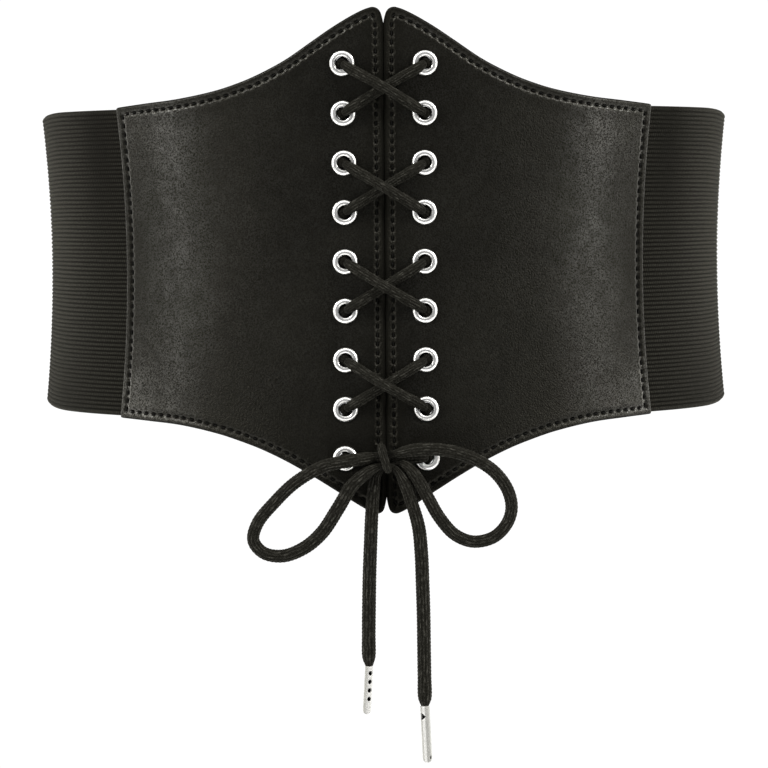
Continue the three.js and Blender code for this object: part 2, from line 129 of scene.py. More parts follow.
def unit(vectors):
    return vectors / np.linalg.norm(vectors, axis=-1, keepdims=True)


def waist_point(angle, height, outwards):
    """Points at an angle round the waist from the centre front, a height and a distance out."""
    flare = (height / FLARE_HEIGHT) ** 2
    half_width = WAIST_HALF_WIDTH + FLARE_WIDTH * flare
    half_depth = WAIST_HALF_DEPTH + FLARE_DEPTH * flare
    sine = np.sin(angle)
    cosine = np.cos(angle)
    normal_x = half_depth * sine
    normal_y = -half_width * cosine
    scale = outwards / np.hypot(normal_x, normal_y)
    return np.stack([
        half_width * sine + normal_x * scale,
        -half_depth * cosine + normal_y * scale,
        height + 0 * scale,
    ], axis=-1)


def run_along(points):
    """How far along a polyline each of its points is."""
    return np.concatenate([[0], np.cumsum(np.linalg.norm(np.diff(points, axis=0), axis=1))])


GIRTH_ANGLES = np.radians(np.arange(0, 180.25, 0.25))
GIRTHS = run_along(waist_point(GIRTH_ANGLES, 0, LEATHER_OUTSIDE))
NUDGE = 0.05


def girth_to_angle(girth):
    return np.sign(girth) * np.interp(np.abs(girth), GIRTHS, GIRTH_ANGLES)


def wall_point(girth, height, outwards):
    """As waist_point, from a distance round the leather's outside instead of an angle."""
    return waist_point(girth_to_angle(girth), height, outwards)


def wall_normal(girth, height):
    """The direction straight out of the leather."""
    across = (wall_point(girth + NUDGE, height, LEATHER_OUTSIDE)
              - wall_point(girth - NUDGE, height, LEATHER_OUTSIDE))
    upwards = (wall_point(girth, height + NUDGE, LEATHER_OUTSIDE)
               - wall_point(girth, height - NUDGE, LEATHER_OUTSIDE))
    return unit(np.cross(across, upwards))


class Seat:
    """Where an eyelet sits: its angle, height, point on the leather and outward axis."""

    def __init__(self, side, row):
        share = row / (EYELETS_PER_SIDE - 1)
        girth = side * EYELET_GIRTH
        self.height = EYELET_TOP + (EYELET_BOTTOM - EYELET_TOP) * share
        self.angle = float(girth_to_angle(girth))
        self.point = waist_point(self.angle, self.height, LEATHER_OUTSIDE)
        self.outward = wall_normal(girth, self.height)


SEATS = {
    "left": [Seat(-1, row) for row in range(EYELETS_PER_SIDE)],
    "right": [Seat(1, row) for row in range(EYELETS_PER_SIDE)],
}
KNOT = (SEATS["left"][-1].point + SEATS["right"][-1].point) / 2


# Camera, lights and floor

CAMERA_PLACE = (-0.0007, -1.0949, 0.0262)
CAMERA_PITCH = math.radians(4.16)
CAMERA_ROLL = math.radians(0.42)
FOCAL_LENGTH_IN_PICTURE_WIDTHS = 2597 / 768
SENSOR_WIDTH = 36
FLOOR_HEIGHT = -0.5
FLOOR_RADIUS = 1.1
STUDIO_GREY = 0.27
BACKDROP_WHITE = 1.05
LIGHT_TINT = (1, 0.985, 0.93)


def make_camera():
    forward = Vector((0, math.cos(CAMERA_PITCH), -math.sin(CAMERA_PITCH)))
    level_right = Vector((1, 0, 0))
    level_up = level_right.cross(forward)
    right = level_right * math.cos(CAMERA_ROLL) - level_up * math.sin(CAMERA_ROLL)
    upwards = level_right * math.sin(CAMERA_ROLL) + level_up * math.cos(CAMERA_ROLL)
    data = bpy.data.cameras.new("camera")
    data.sensor_width = SENSOR_WIDTH
    data.lens = SENSOR_WIDTH * FOCAL_LENGTH_IN_PICTURE_WIDTHS
    data.clip_start = 0.05
    data.clip_end = 50
    camera = bpy.data.objects.new("camera", data)
    turn = Matrix((right, upwards, -forward)).transposed().to_4x4()
    camera.matrix_world = Matrix.Translation(CAMERA_PLACE) @ turn
    bpy.context.scene.collection.objects.link(camera)
    bpy.context.scene.camera = camera


def make_soft_light(name, place, size, power):
    """A rectangular light that faces the belt."""
    data = bpy.data.lights.new(name, "AREA")
    data.shape = "RECTANGLE"
    data.size, data.size_y = size
    data.energy = power
    data.color = LIGHT_TINT
    light = bpy.data.objects.new(name, data)
    light.location = place
    light.rotation_euler = (-Vector(place)).to_track_quat("-Z", "Y").to_euler()
    bpy.context.scene.collection.objects.link(light)


def make_light_pair(name, place, size, power):
    x, y, z = place
    make_soft_light(name + "_left", (-x, y, z), size, power)
    make_soft_light(name + "_right", place, size, power)


def make_studio():
    make_light_pair("light", (1.42, -1.03, 0.3), (0.41, 1.5), 11.3)
    make_light_pair("light_upper", (1.3, -0.95, 1.04), (0.7, 0.4), 29)
    make_light_pair("light_lower", (1.15, -0.95, -0.95), (0.7, 0.4), 10)
    make_soft_light("light_top", (0, -1.0, 1.6), (2.0, 1.2), 18)
    make_light_pair("light_rim", (1.6, 0.6, 0.2), (1.6, 2.0), 42)
    world = bpy.data.worlds.new("studio")
    world.use_nodes = True
    graph = Graph(world.node_tree)
    graph.tree.nodes.clear()
    seen = graph.node("ShaderNodeLightPath", output="Is Camera Ray")
    strength = STUDIO_GREY + seen * (BACKDROP_WHITE - STUDIO_GREY)
    light = {"Color": (1, 1, 1, 1), "Strength": strength}
    background = graph.node("ShaderNodeBackground", values=light)
    graph.node("ShaderNodeOutputWorld", values={"Surface": background}, output=None)
    bpy.context.scene.world = world
    bpy.context.scene.view_settings.view_transform = "Standard"


def make_floor():
    turn = FULL_TURN * np.arange(96) / 96
    rim = np.stack([np.cos(turn), np.sin(turn), 0 * turn], axis=1) * FLOOR_RADIUS
    rim[:, 2] = FLOOR_HEIGHT
    paint = Finish("pale_floor")
    cloud = paint.noise(paint.place(), 3) * 0.04
    paint.surface({
        "Base Color": cloud.blend((0.8, 0.8, 0.8, 1), (0.74, 0.74, 0.73, 1)),
        "Roughness": 0.8,
        "Emission Color": (1, 1, 1, 1),
        "Emission Strength": 0.25,
    })
    make_piece("floor", rim / MILLIMETRE, [tuple(range(len(rim)))], paint)


# Node trees

class Graph:
    """A node tree, to which every node is added by the one method node()."""

    def __init__(self, tree):
        self.tree = tree

    def node(self, kind, settings=(), values=(), output=0):
        """Adds a node with its settings, and a value or link for each socket named or numbered."""
        made = self.tree.nodes.new(kind)
        for name, value in dict(settings).items():
            setattr(made, name, value)
        for key, value in dict(values).items():
            if isinstance(value, Wire):
                self.tree.links.new(value.socket, made.inputs[key])
            else:
                made.inputs[key].default_value = value
        return None if output is None else Wire(self, made.outputs[output])

    def maths(self, operation, *values):
        return self.node("ShaderNodeMath", {"operation": operation}, enumerate(values))


class Wire:
    """An output socket. Arithmetic on it adds Math nodes."""

    def __init__(self, graph, socket):
        self.graph = graph
        self.socket = socket

    def __add__(self, other):
        return self.graph.maths("ADD", self, other)

    def __radd__(self, other):
        return self.graph.maths("ADD", other, self)

    def __sub__(self, other):
        return self.graph.maths("SUBTRACT", self, other)

    def __rsub__(self, other):
        return self.graph.maths("SUBTRACT", other, self)

    def __mul__(self, other):
        return self.graph.maths("MULTIPLY", self, other)

    def __rmul__(self, other):
        return self.graph.maths("MULTIPLY", other, self)

    def __pow__(self, other):
        return self.graph.maths("POWER", self, other)

    def __abs__(self):
        return self.graph.maths("ABSOLUTE", self)

    def sine(self):
        return self.graph.maths("SINE", self)

    def floor(self):
        return self.graph.maths("FLOOR", self)

    def fraction(self):
        return self.graph.maths("FRACT", self)

    def remainder(self, other):
        return self.graph.maths("FLOORED_MODULO", self, other)

    def ease(self, low, high):
        """0 below low and 1 above high, smooth between them."""
        limits = {"Value": self, "From Min": low, "From Max": high}
        smooth = {"interpolation_type": "SMOOTHSTEP"}
        return self.graph.node("ShaderNodeMapRange", smooth, limits)

    def blend(self, none, full):
        """The colour none where this is 0, and full where it is 1."""
        colours = {0: self, 6: none, 7: full}
        return self.graph.node("ShaderNodeMix", {"data_type": "RGBA"}, colours, output=2)

    def part(self, axis):
        """The X, Y or Z of a vector."""
        return self.graph.node("ShaderNodeSeparateXYZ", values={0: self}, output=axis)


class Finish(Graph):
    """A material and its node tree."""

    def __init__(self, name):
        self.material = bpy.data.materials.new(name)
        self.material.use_nodes = True
        super().__init__(self.material.node_tree)
        self.tree.nodes.clear()

    def place(self):
        return self.node("ShaderNodeTexCoord", output="Object")

    def flat_place(self):
        return self.node("ShaderNodeUVMap", {"uv_map": "flat"})

    def attribute(self, name):
        return self.node("ShaderNodeAttribute", {"attribute_name": name}, output="Fac")

    def noise(self, place, scale, detail=2.0, roughness=0.5):
        values = {"Vector": place, "Scale": scale, "Detail": detail, "Roughness": roughness}
        return self.node("ShaderNodeTexNoise", values=values)

    def stretched(self, place, scale):
        """place with each axis multiplied by its own number."""
        return self.node("ShaderNodeMapping", values={"Vector": place, "Scale": scale})

    def pebbles(self, place, scale):
        """Distance from the middle of the nearest of many small cells."""
        values = {"Vector": place, "Scale": scale, "Smoothness": 0.35}
        return self.node("ShaderNodeTexVoronoi", {"feature": "SMOOTH_F1"}, values)

    def bump(self, height_in_millimetres):
        values = {"Strength": 1, "Distance": MILLIMETRE, "Height": height_in_millimetres}
        return self.node("ShaderNodeBump", values=values)

    def surface(self, values):
        shader = self.node("ShaderNodeBsdfPrincipled", values=values)
        self.node("ShaderNodeOutputMaterial", values={"Surface": shader}, output=None)
        return self


# Finishes

WARM_GLOSS = (1, 0.96, 0.8, 1)
KNIT_PITCH = 1.05
BRAID_PITCH = 1.4


def make_leather():
    leather = Finish("black_leather")
    place = leather.place()
    clouds = leather.noise(place, 38, detail=3)
    grain = leather.pebbles(place, 1500)
    creases = leather.noise(place, 1500, detail=3, roughness=0.65)
    wear = leather.attribute("wear")
    lining = leather.attribute("lining")
    # hole marks painted shade in the needle holes and the gap between the panels, and a thin dark line along
    # every edge: near black, rougher and without coat
    hole = leather.attribute("hole")
    # The coat's weight rises and falls round given spots as painted highlights and painted shade, a little less
    # on the worn edge roll and none where painted dark
    painted_light_gloss = leather.attribute("painted_light_gloss") * (1 - wear * 0.2) * (1 - hole)
    black = clouds.ease(0.35, 0.7).blend((0.0017, 0.0016, 0.0013, 1), (0.0027, 0.0026, 0.0021, 1))
    glint = leather.noise(place, 1700, detail=2, roughness=0.7).ease(0.38, 0.6)
    patches = leather.noise(place, 170, detail=4, roughness=0.65).ease(0.3, 0.7)
    relief = grain * -0.12 + creases * 0.1 + clouds * 0.25
    return leather.surface({
        "Base Color": hole.blend(black, (0.0004, 0.0004, 0.0003, 1)),
        "Roughness": 0.26 + creases * 0.14 + clouds * 0.06 + lining * 0.3 + hole * 0.5,
        "Specular IOR Level": 0.1,
        "Specular Tint": WARM_GLOSS,
        "Coat Weight": (0.002 + glint * 0.42) * (0.65 + patches * 0.6) * painted_light_gloss,
        "Coat Roughness": 0.32,
        "Coat Tint": WARM_GLOSS,
        "Normal": leather.bump(relief),
    })


def make_elastic_finish():
    elastic = Finish("ribbed_elastic")
    flat = elastic.flat_place()
    girth = flat.part("X")
    rib = elastic.attribute("rib")
    offset = rib.floor().remainder(2) * 0.5
    # crest is 1 on each rib and 0 in its groove; the grooves are painted dark as shade besides being cut in
    crest = abs((rib * math.pi).sine())
    loops = ((girth * (1 / KNIT_PITCH) + offset) * FULL_TURN).sine()
    fuzz = elastic.noise(elastic.stretched(flat, (1.1, 2, 1)), 1, detail=3, roughness=0.8)
    # The painted light and shade from the spots scales the rib colour
    shade = crest.ease(0.5, 0.95) * (fuzz * 3.2 - 1.1 + loops * 0.24) * elastic.attribute("painted_light_tone")
    return elastic.surface({
        "Base Color": shade.blend((0.0008, 0.0007, 0.0005, 1), (0.0168, 0.0163, 0.0134, 1)),
        "Roughness": 0.82 + fuzz * 0.15,
        "Specular IOR Level": 0.08,
        "Specular Tint": WARM_GLOSS,
        "Sheen Weight": 0.06,
        "Sheen Roughness": 0.35,
        "Sheen Tint": WARM_GLOSS,
        "Normal": elastic.bump(loops * crest * 0.05 + fuzz * 0.12),
    })


def make_lace_finish():
    lace = Finish("braided_lace")
    flat = lace.flat_place()
    column = flat.part("X")
    along = flat.part("Y")
    lean = 1 - column.floor().remainder(2) * 2
    across = column.fraction() - 0.5
    strand = ((along * (1 / BRAID_PITCH) + lean * across * 0.55) * FULL_TURN).sine()
    # row is 1 along each row of the braid and 0 in the grooves between, which are painted darker as shade
    row = abs((column * math.pi).sine())
    fuzz = lace.noise(lace.stretched(flat, (1.7, 2.4, 1)), 1, detail=3, roughness=0.7)
    painted_glints = lace.noise(lace.stretched(flat, (2.6, 0.32, 1)), 1, detail=2).ease(0.48, 0.72)
    # Painted shade: the lace is darker inside the eyelets, round their rims and within the knot
    loose = 1 - lace.attribute("squeeze_and_shade") * 0.8
    shade = (row * 0.6 + strand * row * 0.24 + fuzz * 0.6 - 0.4) * loose
    cloth = shade.blend((0.0015, 0.0014, 0.0011, 1), (0.0112, 0.011, 0.0094, 1))
    return lace.surface({
        # Painted highlights: pale streaks on the rows stand in for glints on the strands
        "Base Color": (painted_glints * row * loose * 0.45).blend(cloth, (0.085, 0.083, 0.073, 1)),
        "Roughness": 0.78 + fuzz * 0.15,
        "Specular IOR Level": 0.1,
        "Specular Tint": WARM_GLOSS,
        "Sheen Weight": 0.012,
        "Sheen Roughness": 0.45,
        "Sheen Tint": WARM_GLOSS,
        "Normal": lace.bump(row * 0.14 + strand * row * 0.1 + fuzz * 0.08),
    })


def make_nickel(name, light, dark, roughness, metallic):
    nickel = Finish(name)
    place = nickel.place()
    cloud = nickel.noise(place, 420, detail=3)
    scratch = nickel.noise(nickel.stretched(place, (900, 900, 5200)), 1, detail=2)
    # hollow is painted shade: the eyelets' bores and the aglets' dents turn near black, rough and not metal
    hollow = nickel.attribute("hollow")
    # Painted shade darkens the aglets' metal by angle round them, leaving painted highlight strips
    painted_side_shade = nickel.attribute("painted_side_shade")
    clean = cloud.blend((light, light, light, 1), (dark, dark, dark, 1))
    bright = painted_side_shade.blend(clean, (light * 0.33, light * 0.33, light * 0.31, 1))
    return nickel.surface({
        "Base Color": hollow.blend(bright, (0.003, 0.003, 0.0028, 1)),
        "Metallic": metallic + hollow * (1 - metallic),
        "Roughness": roughness + cloud * 0.1 + scratch * 0.06 + hollow * 0.5,
        "Normal": nickel.bump(scratch * 0.002 + cloud * 0.006),
    })


def make_thread():
    thread = Finish("waxed_thread")
    place = thread.place()
    twist = thread.noise(place, 2600, detail=2)
    return thread.surface({
        "Base Color": twist.blend((0.0005, 0.0005, 0.0004, 1), (0.0016, 0.0015, 0.0012, 1)),
        "Roughness": 0.65 + twist * 0.2,
        "Specular IOR Level": 0.1,
        "Normal": thread.bump(twist * 0.06),
    })


# Meshes

def make_piece(name, points, faces, finish, flat=None, values=None):
    """An object with its mesh in metres. flat is a UV place for each corner of each face, in order,
    and values are numbers for each point, by name."""
    mesh = bpy.data.meshes.new(name)
    mesh.from_pydata((np.asarray(points, float) * MILLIMETRE).tolist(), [], faces)
    mesh.materials.append(finish.material)
    mesh.shade_smooth()
    if flat is not None:
        layer = mesh.uv_layers.new(name="flat")
        layer.data.foreach_set("uv", np.asarray(flat, np.float32).ravel())
    for key, numbers in (values or {}).items():
        write_values(mesh, key, numbers)
    piece = bpy.data.objects.new(name, mesh)
    bpy.context.scene.collection.objects.link(piece)
    return piece


def write_values(mesh, name, numbers):
    """Stores a number or a vector for each point of the mesh."""
    numbers = np.asarray(numbers, np.float32)
    if numbers.ndim == 1:
        mesh.attributes.new(name, "FLOAT", "POINT").data.foreach_set("value", numbers)
    else:
        mesh.attributes.new(name, "FLOAT_VECTOR", "POINT").data.foreach_set("vector", numbers.ravel())


def wrap_grid(rings, sides, closed_along=False):
    """Quads between rings of points, each ring closed on itself, with a cap on each end unless the
    rings close too. A ring runs right-handed round the direction from one ring to the next."""
    last = rings if closed_along else rings - 1
    faces = []
    for j in range(last):
        here = j * sides
        ahead = (j + 1) % rings * sides
        for i in range(sides):
            k = (i + 1) % sides
            faces.append((here + i, here + k, ahead + k, ahead + i))
    if not closed_along:
        faces.append(tuple(range(sides - 1, -1, -1)))
        faces.append(tuple(range((rings - 1) * sides, rings * sides)))
    return faces


def wrap_flat(around, along, closed_along=False):
    """UV places for wrap_grid's faces. around has one value more than a ring has points."""
    sides = len(around) - 1
    steps = len(along) - 1
    corners = np.zeros((steps, sides, 4, 2))
    corners[:, :, 0, 0] = corners[:, :, 3, 0] = around[None, :-1]
    corners[:, :, 1, 0] = corners[:, :, 2, 0] = around[None, 1:]
    corners[:, :, 0, 1] = corners[:, :, 1, 1] = along[:-1, None]
    corners[:, :, 2, 1] = corners[:, :, 3, 1] = along[1:, None]
    flat = corners.reshape(-1, 2)
    return flat if closed_along else np.vstack([flat, np.zeros((2 * sides, 2))])


# Smooth paths

CURVE_SAMPLES = 24


def smooth_path(stations, step):
    """Points every step along the centripetal curve through the stations. Further columns go with
    them."""
    stations = np.asarray(stations, float)
    padded = np.vstack([2 * stations[0] - stations[1], stations, 2 * stations[-1] - stations[-2]])
    strides = np.linalg.norm(np.diff(padded[:, :3], axis=0), axis=1)
    knots = np.concatenate([[0], np.cumsum(np.sqrt(strides))])
    dense = []
    for i in range(1, len(stations)):
        t0, t1, t2, t3 = knots[i - 1:i + 3]
        p0, p1, p2, p3 = padded[i - 1:i + 3]
        t = np.linspace(t1, t2, CURVE_SAMPLES, endpoint=False)[:, None]
        a1 = (t1 - t) / (t1 - t0) * p0 + (t - t0) / (t1 - t0) * p1
        a2 = (t2 - t) / (t2 - t1) * p1 + (t - t1) / (t2 - t1) * p2
        a3 = (t3 - t) / (t3 - t2) * p2 + (t - t2) / (t3 - t2) * p3
        b1 = (t2 - t) / (t2 - t0) * a1 + (t - t0) / (t2 - t0) * a2
        b2 = (t3 - t) / (t3 - t1) * a2 + (t - t1) / (t3 - t1) * a3
        dense.append((t2 - t) / (t2 - t1) * b1 + (t - t1) / (t2 - t1) * b2)
    return evenly_spaced(np.vstack([*dense, stations[-1:]]), step)


def evenly_spaced(points, step, closed=False):
    """The points of a polyline, step apart or the nearest to it that fits."""
    if closed:
        points = np.vstack([points, points[:1]])
    run = run_along(points[:, :3])
    count = max(2, round(run[-1] / step))
    wanted = np.linspace(0, run[-1], count + 1)[:count if closed else None]
    return np.stack([np.interp(wanted, run, column) for column in points.T], axis=1)


def path_length(points):
    return float(np.linalg.norm(np.diff(points, axis=0), axis=1).sum())


def carried_frames(centres):
    """Two directions square to a path, which turn as little as they can on the way."""
    along = unit(np.gradient(centres, axis=0))
    across = np.empty_like(centres)
    across[0] = unit(np.cross(along[0], (0, 0, 1)))
    for i in range(1, len(centres)):
        carried = across[i - 1] - along[i] * (across[i - 1] @ along[i])
        across[i] = unit(carried)
    return across, np.cross(along, across)


# Lace

BRAID_COLUMNS = 12
LACE_SIDES = 2 * BRAID_COLUMNS
LACE_TURNS = FULL_TURN * np.arange(LACE_SIDES) / LACE_SIDES
BRAID_ROWS = np.arange(LACE_SIDES + 1) / 2 + 0.5
LACE_STEP = 0.35
BRAID_GROOVE = 0.27
BRAID_BUMP = 0.06

# Thickness as a share of the full one: of the tight lace, of the lace spread out within an
# eyelet's bore, and of the lace from the bore round the rim
HELD_SHARE = 0.8
BORE_SHARE = 1.06
RIM_SHARES = (0.62, 0.66, 0.74, 0.84)
RIM_TURNS = np.radians((0, 30, 60, 90))

# How far the lace's braid is pressed flat, and how much painted shade darkens its colour, at the same places and
# within the knot
RIM_SQUEEZES_AND_SHADES = (1, 1, 0.7, 0.15)
KNOT_SQUEEZE_AND_SHADE = 0.45
KNOT_SHARE = 0.55


def rim_bend(seat, towards, face):
    """The quarter turn over an eyelet's rim, from its hole towards a point, with the lace's share
    and squeeze. face is 1 in front and -1 behind."""
    bend_radius = LACE_RADIUS + LACE_GAP + FLANGE_HEIGHT - EYELET_SEAT
    rim_height = EYELET_SEAT if face > 0 else -LEATHER_WALL - EYELET_SEAT
    heading = towards - seat.point
    along = unit(heading - seat.outward * (heading @ seat.outward))
    centre = seat.point + seat.outward * rim_height + along * bend_radius
    points = []
    for turn, share, squeeze_and_shade in zip(RIM_TURNS, RIM_SHARES, RIM_SQUEEZES_AND_SHADES):
        reach = bend_radius - (1 - share) * LACE_DIAMETER / 2
        place = (centre - along * reach * math.cos(turn)
                 + seat.outward * face * reach * math.sin(turn))
        points.append((*place, share, squeeze_and_shade))
    return points


# Where the middle of a run across the front has its points, and how far it has sunk there
CROSSING_SHARES = (0.36, 0.5, 0.64)
CROSSING_SINKS = (1, 0, 1)


def crossing_points(start, end):
    """The middle of a run across the front. The strand that starts upper left lies on top."""
    upper = start if start.height > end.height else end
    under = LACE_RADIUS + LACE_GAP
    over = under + 2 * LACE_RADIUS + LACE_GAP
    points = []
    for share, sink in zip(CROSSING_SHARES, CROSSING_SINKS):
        rise = over - sink if upper.angle < 0 else under
        angle = start.angle + (end.angle - start.angle) * share
        height = start.height + (end.height - start.height) * share
        points.append((*waist_point(angle, height, LEATHER_OUTSIDE + rise), HELD_SHARE, 0))
    return points


def lacing_holes():
    """From the lowest right hole up to the top, across, and down to the lowest left one. Every
    other run is in front and changes sides."""
    holes = [("right", EYELETS_PER_SIDE - 1)]
    for run in range(2 * EYELETS_PER_SIDE - 1):
        side, row = holes[-1]
        is_top = run == EYELETS_PER_SIDE - 1
        step = 0 if is_top else (1 if run >= EYELETS_PER_SIDE else -1)
        if is_top or run % 2 == 1:
            side = "left" if side == "right" else "right"
        holes.append((side, row + step))
    return [SEATS[side][row] for side, row in holes]


def in_bore(seat):
    """Halfway through an eyelet, with the lace's share and squeeze."""
    return (*seat.point - seat.outward * LEATHER_WALL / 2, BORE_SHARE, 1)


def lacing_stations():
    """The held lace's way through every eyelet, with its share and squeeze."""
    holes = lacing_holes()
    points = []
    for run, (start, end) in enumerate(zip(holes, holes[1:])):
        in_front = run % 2 == 1
        face = 1 if in_front else -1
        points.append(in_bore(start))
        points += rim_bend(start, end.point, face)
        if in_front:
            points += crossing_points(start, end)
        points += rim_bend(end, start.point, face)[::-1]
    points.append(in_bore(holes[-1]))
    return np.array(points)


def loose_stations(seat, opposite, route):
    """A loose lace's way from its eyelet along the route, with its share and squeeze."""
    start = np.array(in_bore(seat)) + (*seat.outward * LACE_GAP, 0, 0)
    held = [start, *rim_bend(seat, opposite.point, 1)]
    sideways, upwards, outwards, share = np.array(route, float).T
    squeeze_and_shade = KNOT_SQUEEZE_AND_SHADE * (share < KNOT_SHARE)
    places = (KNOT[0] + sideways, KNOT[1] - outwards, KNOT[2] + upwards)
    return np.vstack([held, np.column_stack([*places, share, squeeze_and_shade])])


def braid_relief(rings, run):
    """How far each point of a lace stands out from its round section: grooves between the rows of
    the braid, and the strands that cross each row by turns."""
    side = np.arange(LACE_SIDES)
    on_row = side % 2 == 0
    shift = side // 2 % 2 * 0.5
    wave = np.cos(FULL_TURN * (run[:rings, None] / BRAID_PITCH + shift[None, :]))
    return np.where(on_row[None, :], BRAID_BUMP * wave, -BRAID_GROOVE)


def make_lace(name, stations, finish):
    """A braided tube along the stations, and the points down its middle."""
    line = smooth_path(stations, LACE_STEP)
    centres = line[:, :3]
    share = line[:, 3]
    squeeze_and_shade = line[:, 4]
    across, beside = carried_frames(centres)
    run = run_along(centres)
    relief = braid_relief(len(centres), run) * (1 - squeeze_and_shade[:, None])
    radius = (LACE_DIAMETER / 2 + relief) * share[:, None]
    spokes = (np.cos(LACE_TURNS)[None, :, None] * across[:, None, :]
              + np.sin(LACE_TURNS)[None, :, None] * beside[:, None, :])
    points = (centres[:, None, :] + radius[:, :, None] * spokes).reshape(-1, 3)
    faces = wrap_grid(len(centres), LACE_SIDES)
    flat = wrap_flat(BRAID_ROWS, run)
    # The squeeze also carries painted shade to the lace's colour
    values = {"squeeze_and_shade": np.repeat(squeeze_and_shade, LACE_SIDES)}
    return make_piece(name, points, faces, finish, flat, values), centres


WRAP_HALF_HEIGHT = 4.5
WRAP_HALF_DEPTH = 5.6
WRAP_SHIFT = (-0.6, -8, 0.7)
WRAP_SLANT = math.radians(-17)
WRAP_CORNER = 3.2
WRAP_HALF_WIDTH = 1.6
WRAP_HALF_THICKNESS = 1.35
# Painted shade on the turn of lace round the knot
WRAP_PAINTED_SHADE = 0.3
WRAP_RELIEF = 0.7
WRAP_SAMPLES = 120


def make_wrap(finish):
    """The turn of lace round the knot: a closed band, a rounded rectangle seen from the side."""
    turn = FULL_TURN * np.arange(WRAP_SAMPLES) / WRAP_SAMPLES

    def rounded(value):
        return np.sign(value) * np.abs(value) ** (2 / WRAP_CORNER)

    loop = np.stack([
        0 * turn,
        WRAP_HALF_DEPTH * rounded(np.cos(turn)),
        WRAP_HALF_HEIGHT * rounded(np.sin(turn)),
    ], axis=1)
    loop = evenly_spaced(loop, LACE_STEP, closed=True)
    ahead = unit(np.roll(loop, -1, axis=0) - np.roll(loop, 1, axis=0))
    outwards = np.stack([0 * ahead[:, 0], ahead[:, 2], -ahead[:, 1]], axis=1)
    run = np.arange(len(loop) + 1) * path_length(np.vstack([loop, loop[:1]])) / len(loop)
    relief = braid_relief(len(loop), run) * WRAP_RELIEF
    half_width = (WRAP_HALF_WIDTH + relief)[:, :, None]
    half_thickness = (WRAP_HALF_THICKNESS + relief)[:, :, None]
    section = (np.cos(LACE_TURNS)[None, :, None] * SIDEWAYS * half_width
               + np.sin(LACE_TURNS)[None, :, None] * outwards[:, None, :] * half_thickness)
    points = (loop[:, None, :] + section).reshape(-1, 3)
    slant = np.array(Matrix.Rotation(WRAP_SLANT, 3, "Y"))
    points = points @ slant.T + KNOT + WRAP_SHIFT
    faces = wrap_grid(len(loop), LACE_SIDES, closed_along=True)
    flat = wrap_flat(BRAID_ROWS, run, closed_along=True)
    values = {"squeeze_and_shade": np.full(len(points), WRAP_PAINTED_SHADE)}
    return make_piece("knot_band", points, faces, finish, flat, values)


# Aglets

AGLET_SIDES = 56
AGLET_STEP = 0.15


def pin_holes(depth, places, radius):
    """Round pin holes in a tube's wall: each place is an angle from the front and a distance along."""
    def hollow(angle, along, tube_radius):
        total = 0 * angle * along
        for hole_angle, hole_along in places:
            reach = np.hypot((angle - hole_angle) * tube_radius, along - hole_along)
            total = np.maximum(total, depth * (1 - smooth_share(reach, radius * 0.6, radius * 1.15)))
        return total
    return hollow


def smooth_share(value, low, high):
    share = np.clip((value - low) / (high - low), 0, 1)
    return share * share * (3 - 2 * share)


def crimp(angle, along, tube_radius):
    """The right aglet's folded seam, the wedge pressed in beside it, and the nick by its tip."""
    seam = 0.16 * np.exp(-((angle + 0.28) * tube_radius / 0.14) ** 2) * smooth_share(along, 0.2, 1)
    wedge_half = 1.35 * np.clip((0.02 - angle) / 0.8, 0, 1)
    wedge = 0.75 * (1 - smooth_share(np.abs(along - 4.1), wedge_half * 0.5, wedge_half + 0.12))
    wedge = wedge * (angle < 0.02) * (angle > -1.5)
    nick = 0.6 * (1 - smooth_share(np.hypot((angle - 0.9) * tube_radius, along - 20.2), 0.3, 0.8))
    return np.maximum(np.maximum(seam, wedge), nick)


def make_aglet(name, line, length, radius, lean, dents, side_shading, finish):
    """A metal tip in line with the end of a lace. lean turns it sideways by that many radians, and
    the shading table gives angles from the front with how much painted shade darkens the metal there."""
    start = line[-1]
    along = unit(line[-1] - line[-30])
    along = unit(along + SIDEWAYS * math.tan(lean))
    across = unit(SIDEWAYS - along * (SIDEWAYS @ along))
    towards = np.cross(across, along)
    front = towards if towards[1] < 0 else -towards
    station = np.arange(0, length + AGLET_STEP / 2, AGLET_STEP)
    station[-1] = length
    angle = FULL_TURN * np.arange(AGLET_SIDES) / AGLET_SIDES
    angle = np.where(angle > math.pi, angle - FULL_TURN, angle)
    dent = dents(angle[None, :], station[:, None], radius)
    rim = 0.82 + 0.18 * smooth_share(station, 0, 0.35)
    tip_run = 1.3 * radius
    tip = np.sqrt(np.clip(1 - np.clip((station - length + tip_run) / tip_run, 0, 1) ** 2.6, 0.02, 1))
    reach = radius * (rim * tip)[:, None] - dent
    spokes = np.cos(angle)[:, None] * front + np.sin(angle)[:, None] * across
    points = start + station[:, None, None] * along + reach[:, :, None] * spokes[None]
    faces = wrap_grid(len(station), AGLET_SIDES)
    right_handed = np.cross(front, across) @ along > 0
    if not right_handed:
        faces = [face[::-1] for face in faces]
    values = {
        # Painted shade in the pin holes, the wedge and the nick
        "hollow": smooth_share(dent, 0.17, 0.28).ravel(),
        # painted light and shade by angle round the tip
        "painted_side_shade": np.tile(np.interp(angle, *zip(*side_shading)), len(station)),
    }
    return make_piece(name, points.reshape(-1, 3), faces, finish, values=values)


# Repeated parts

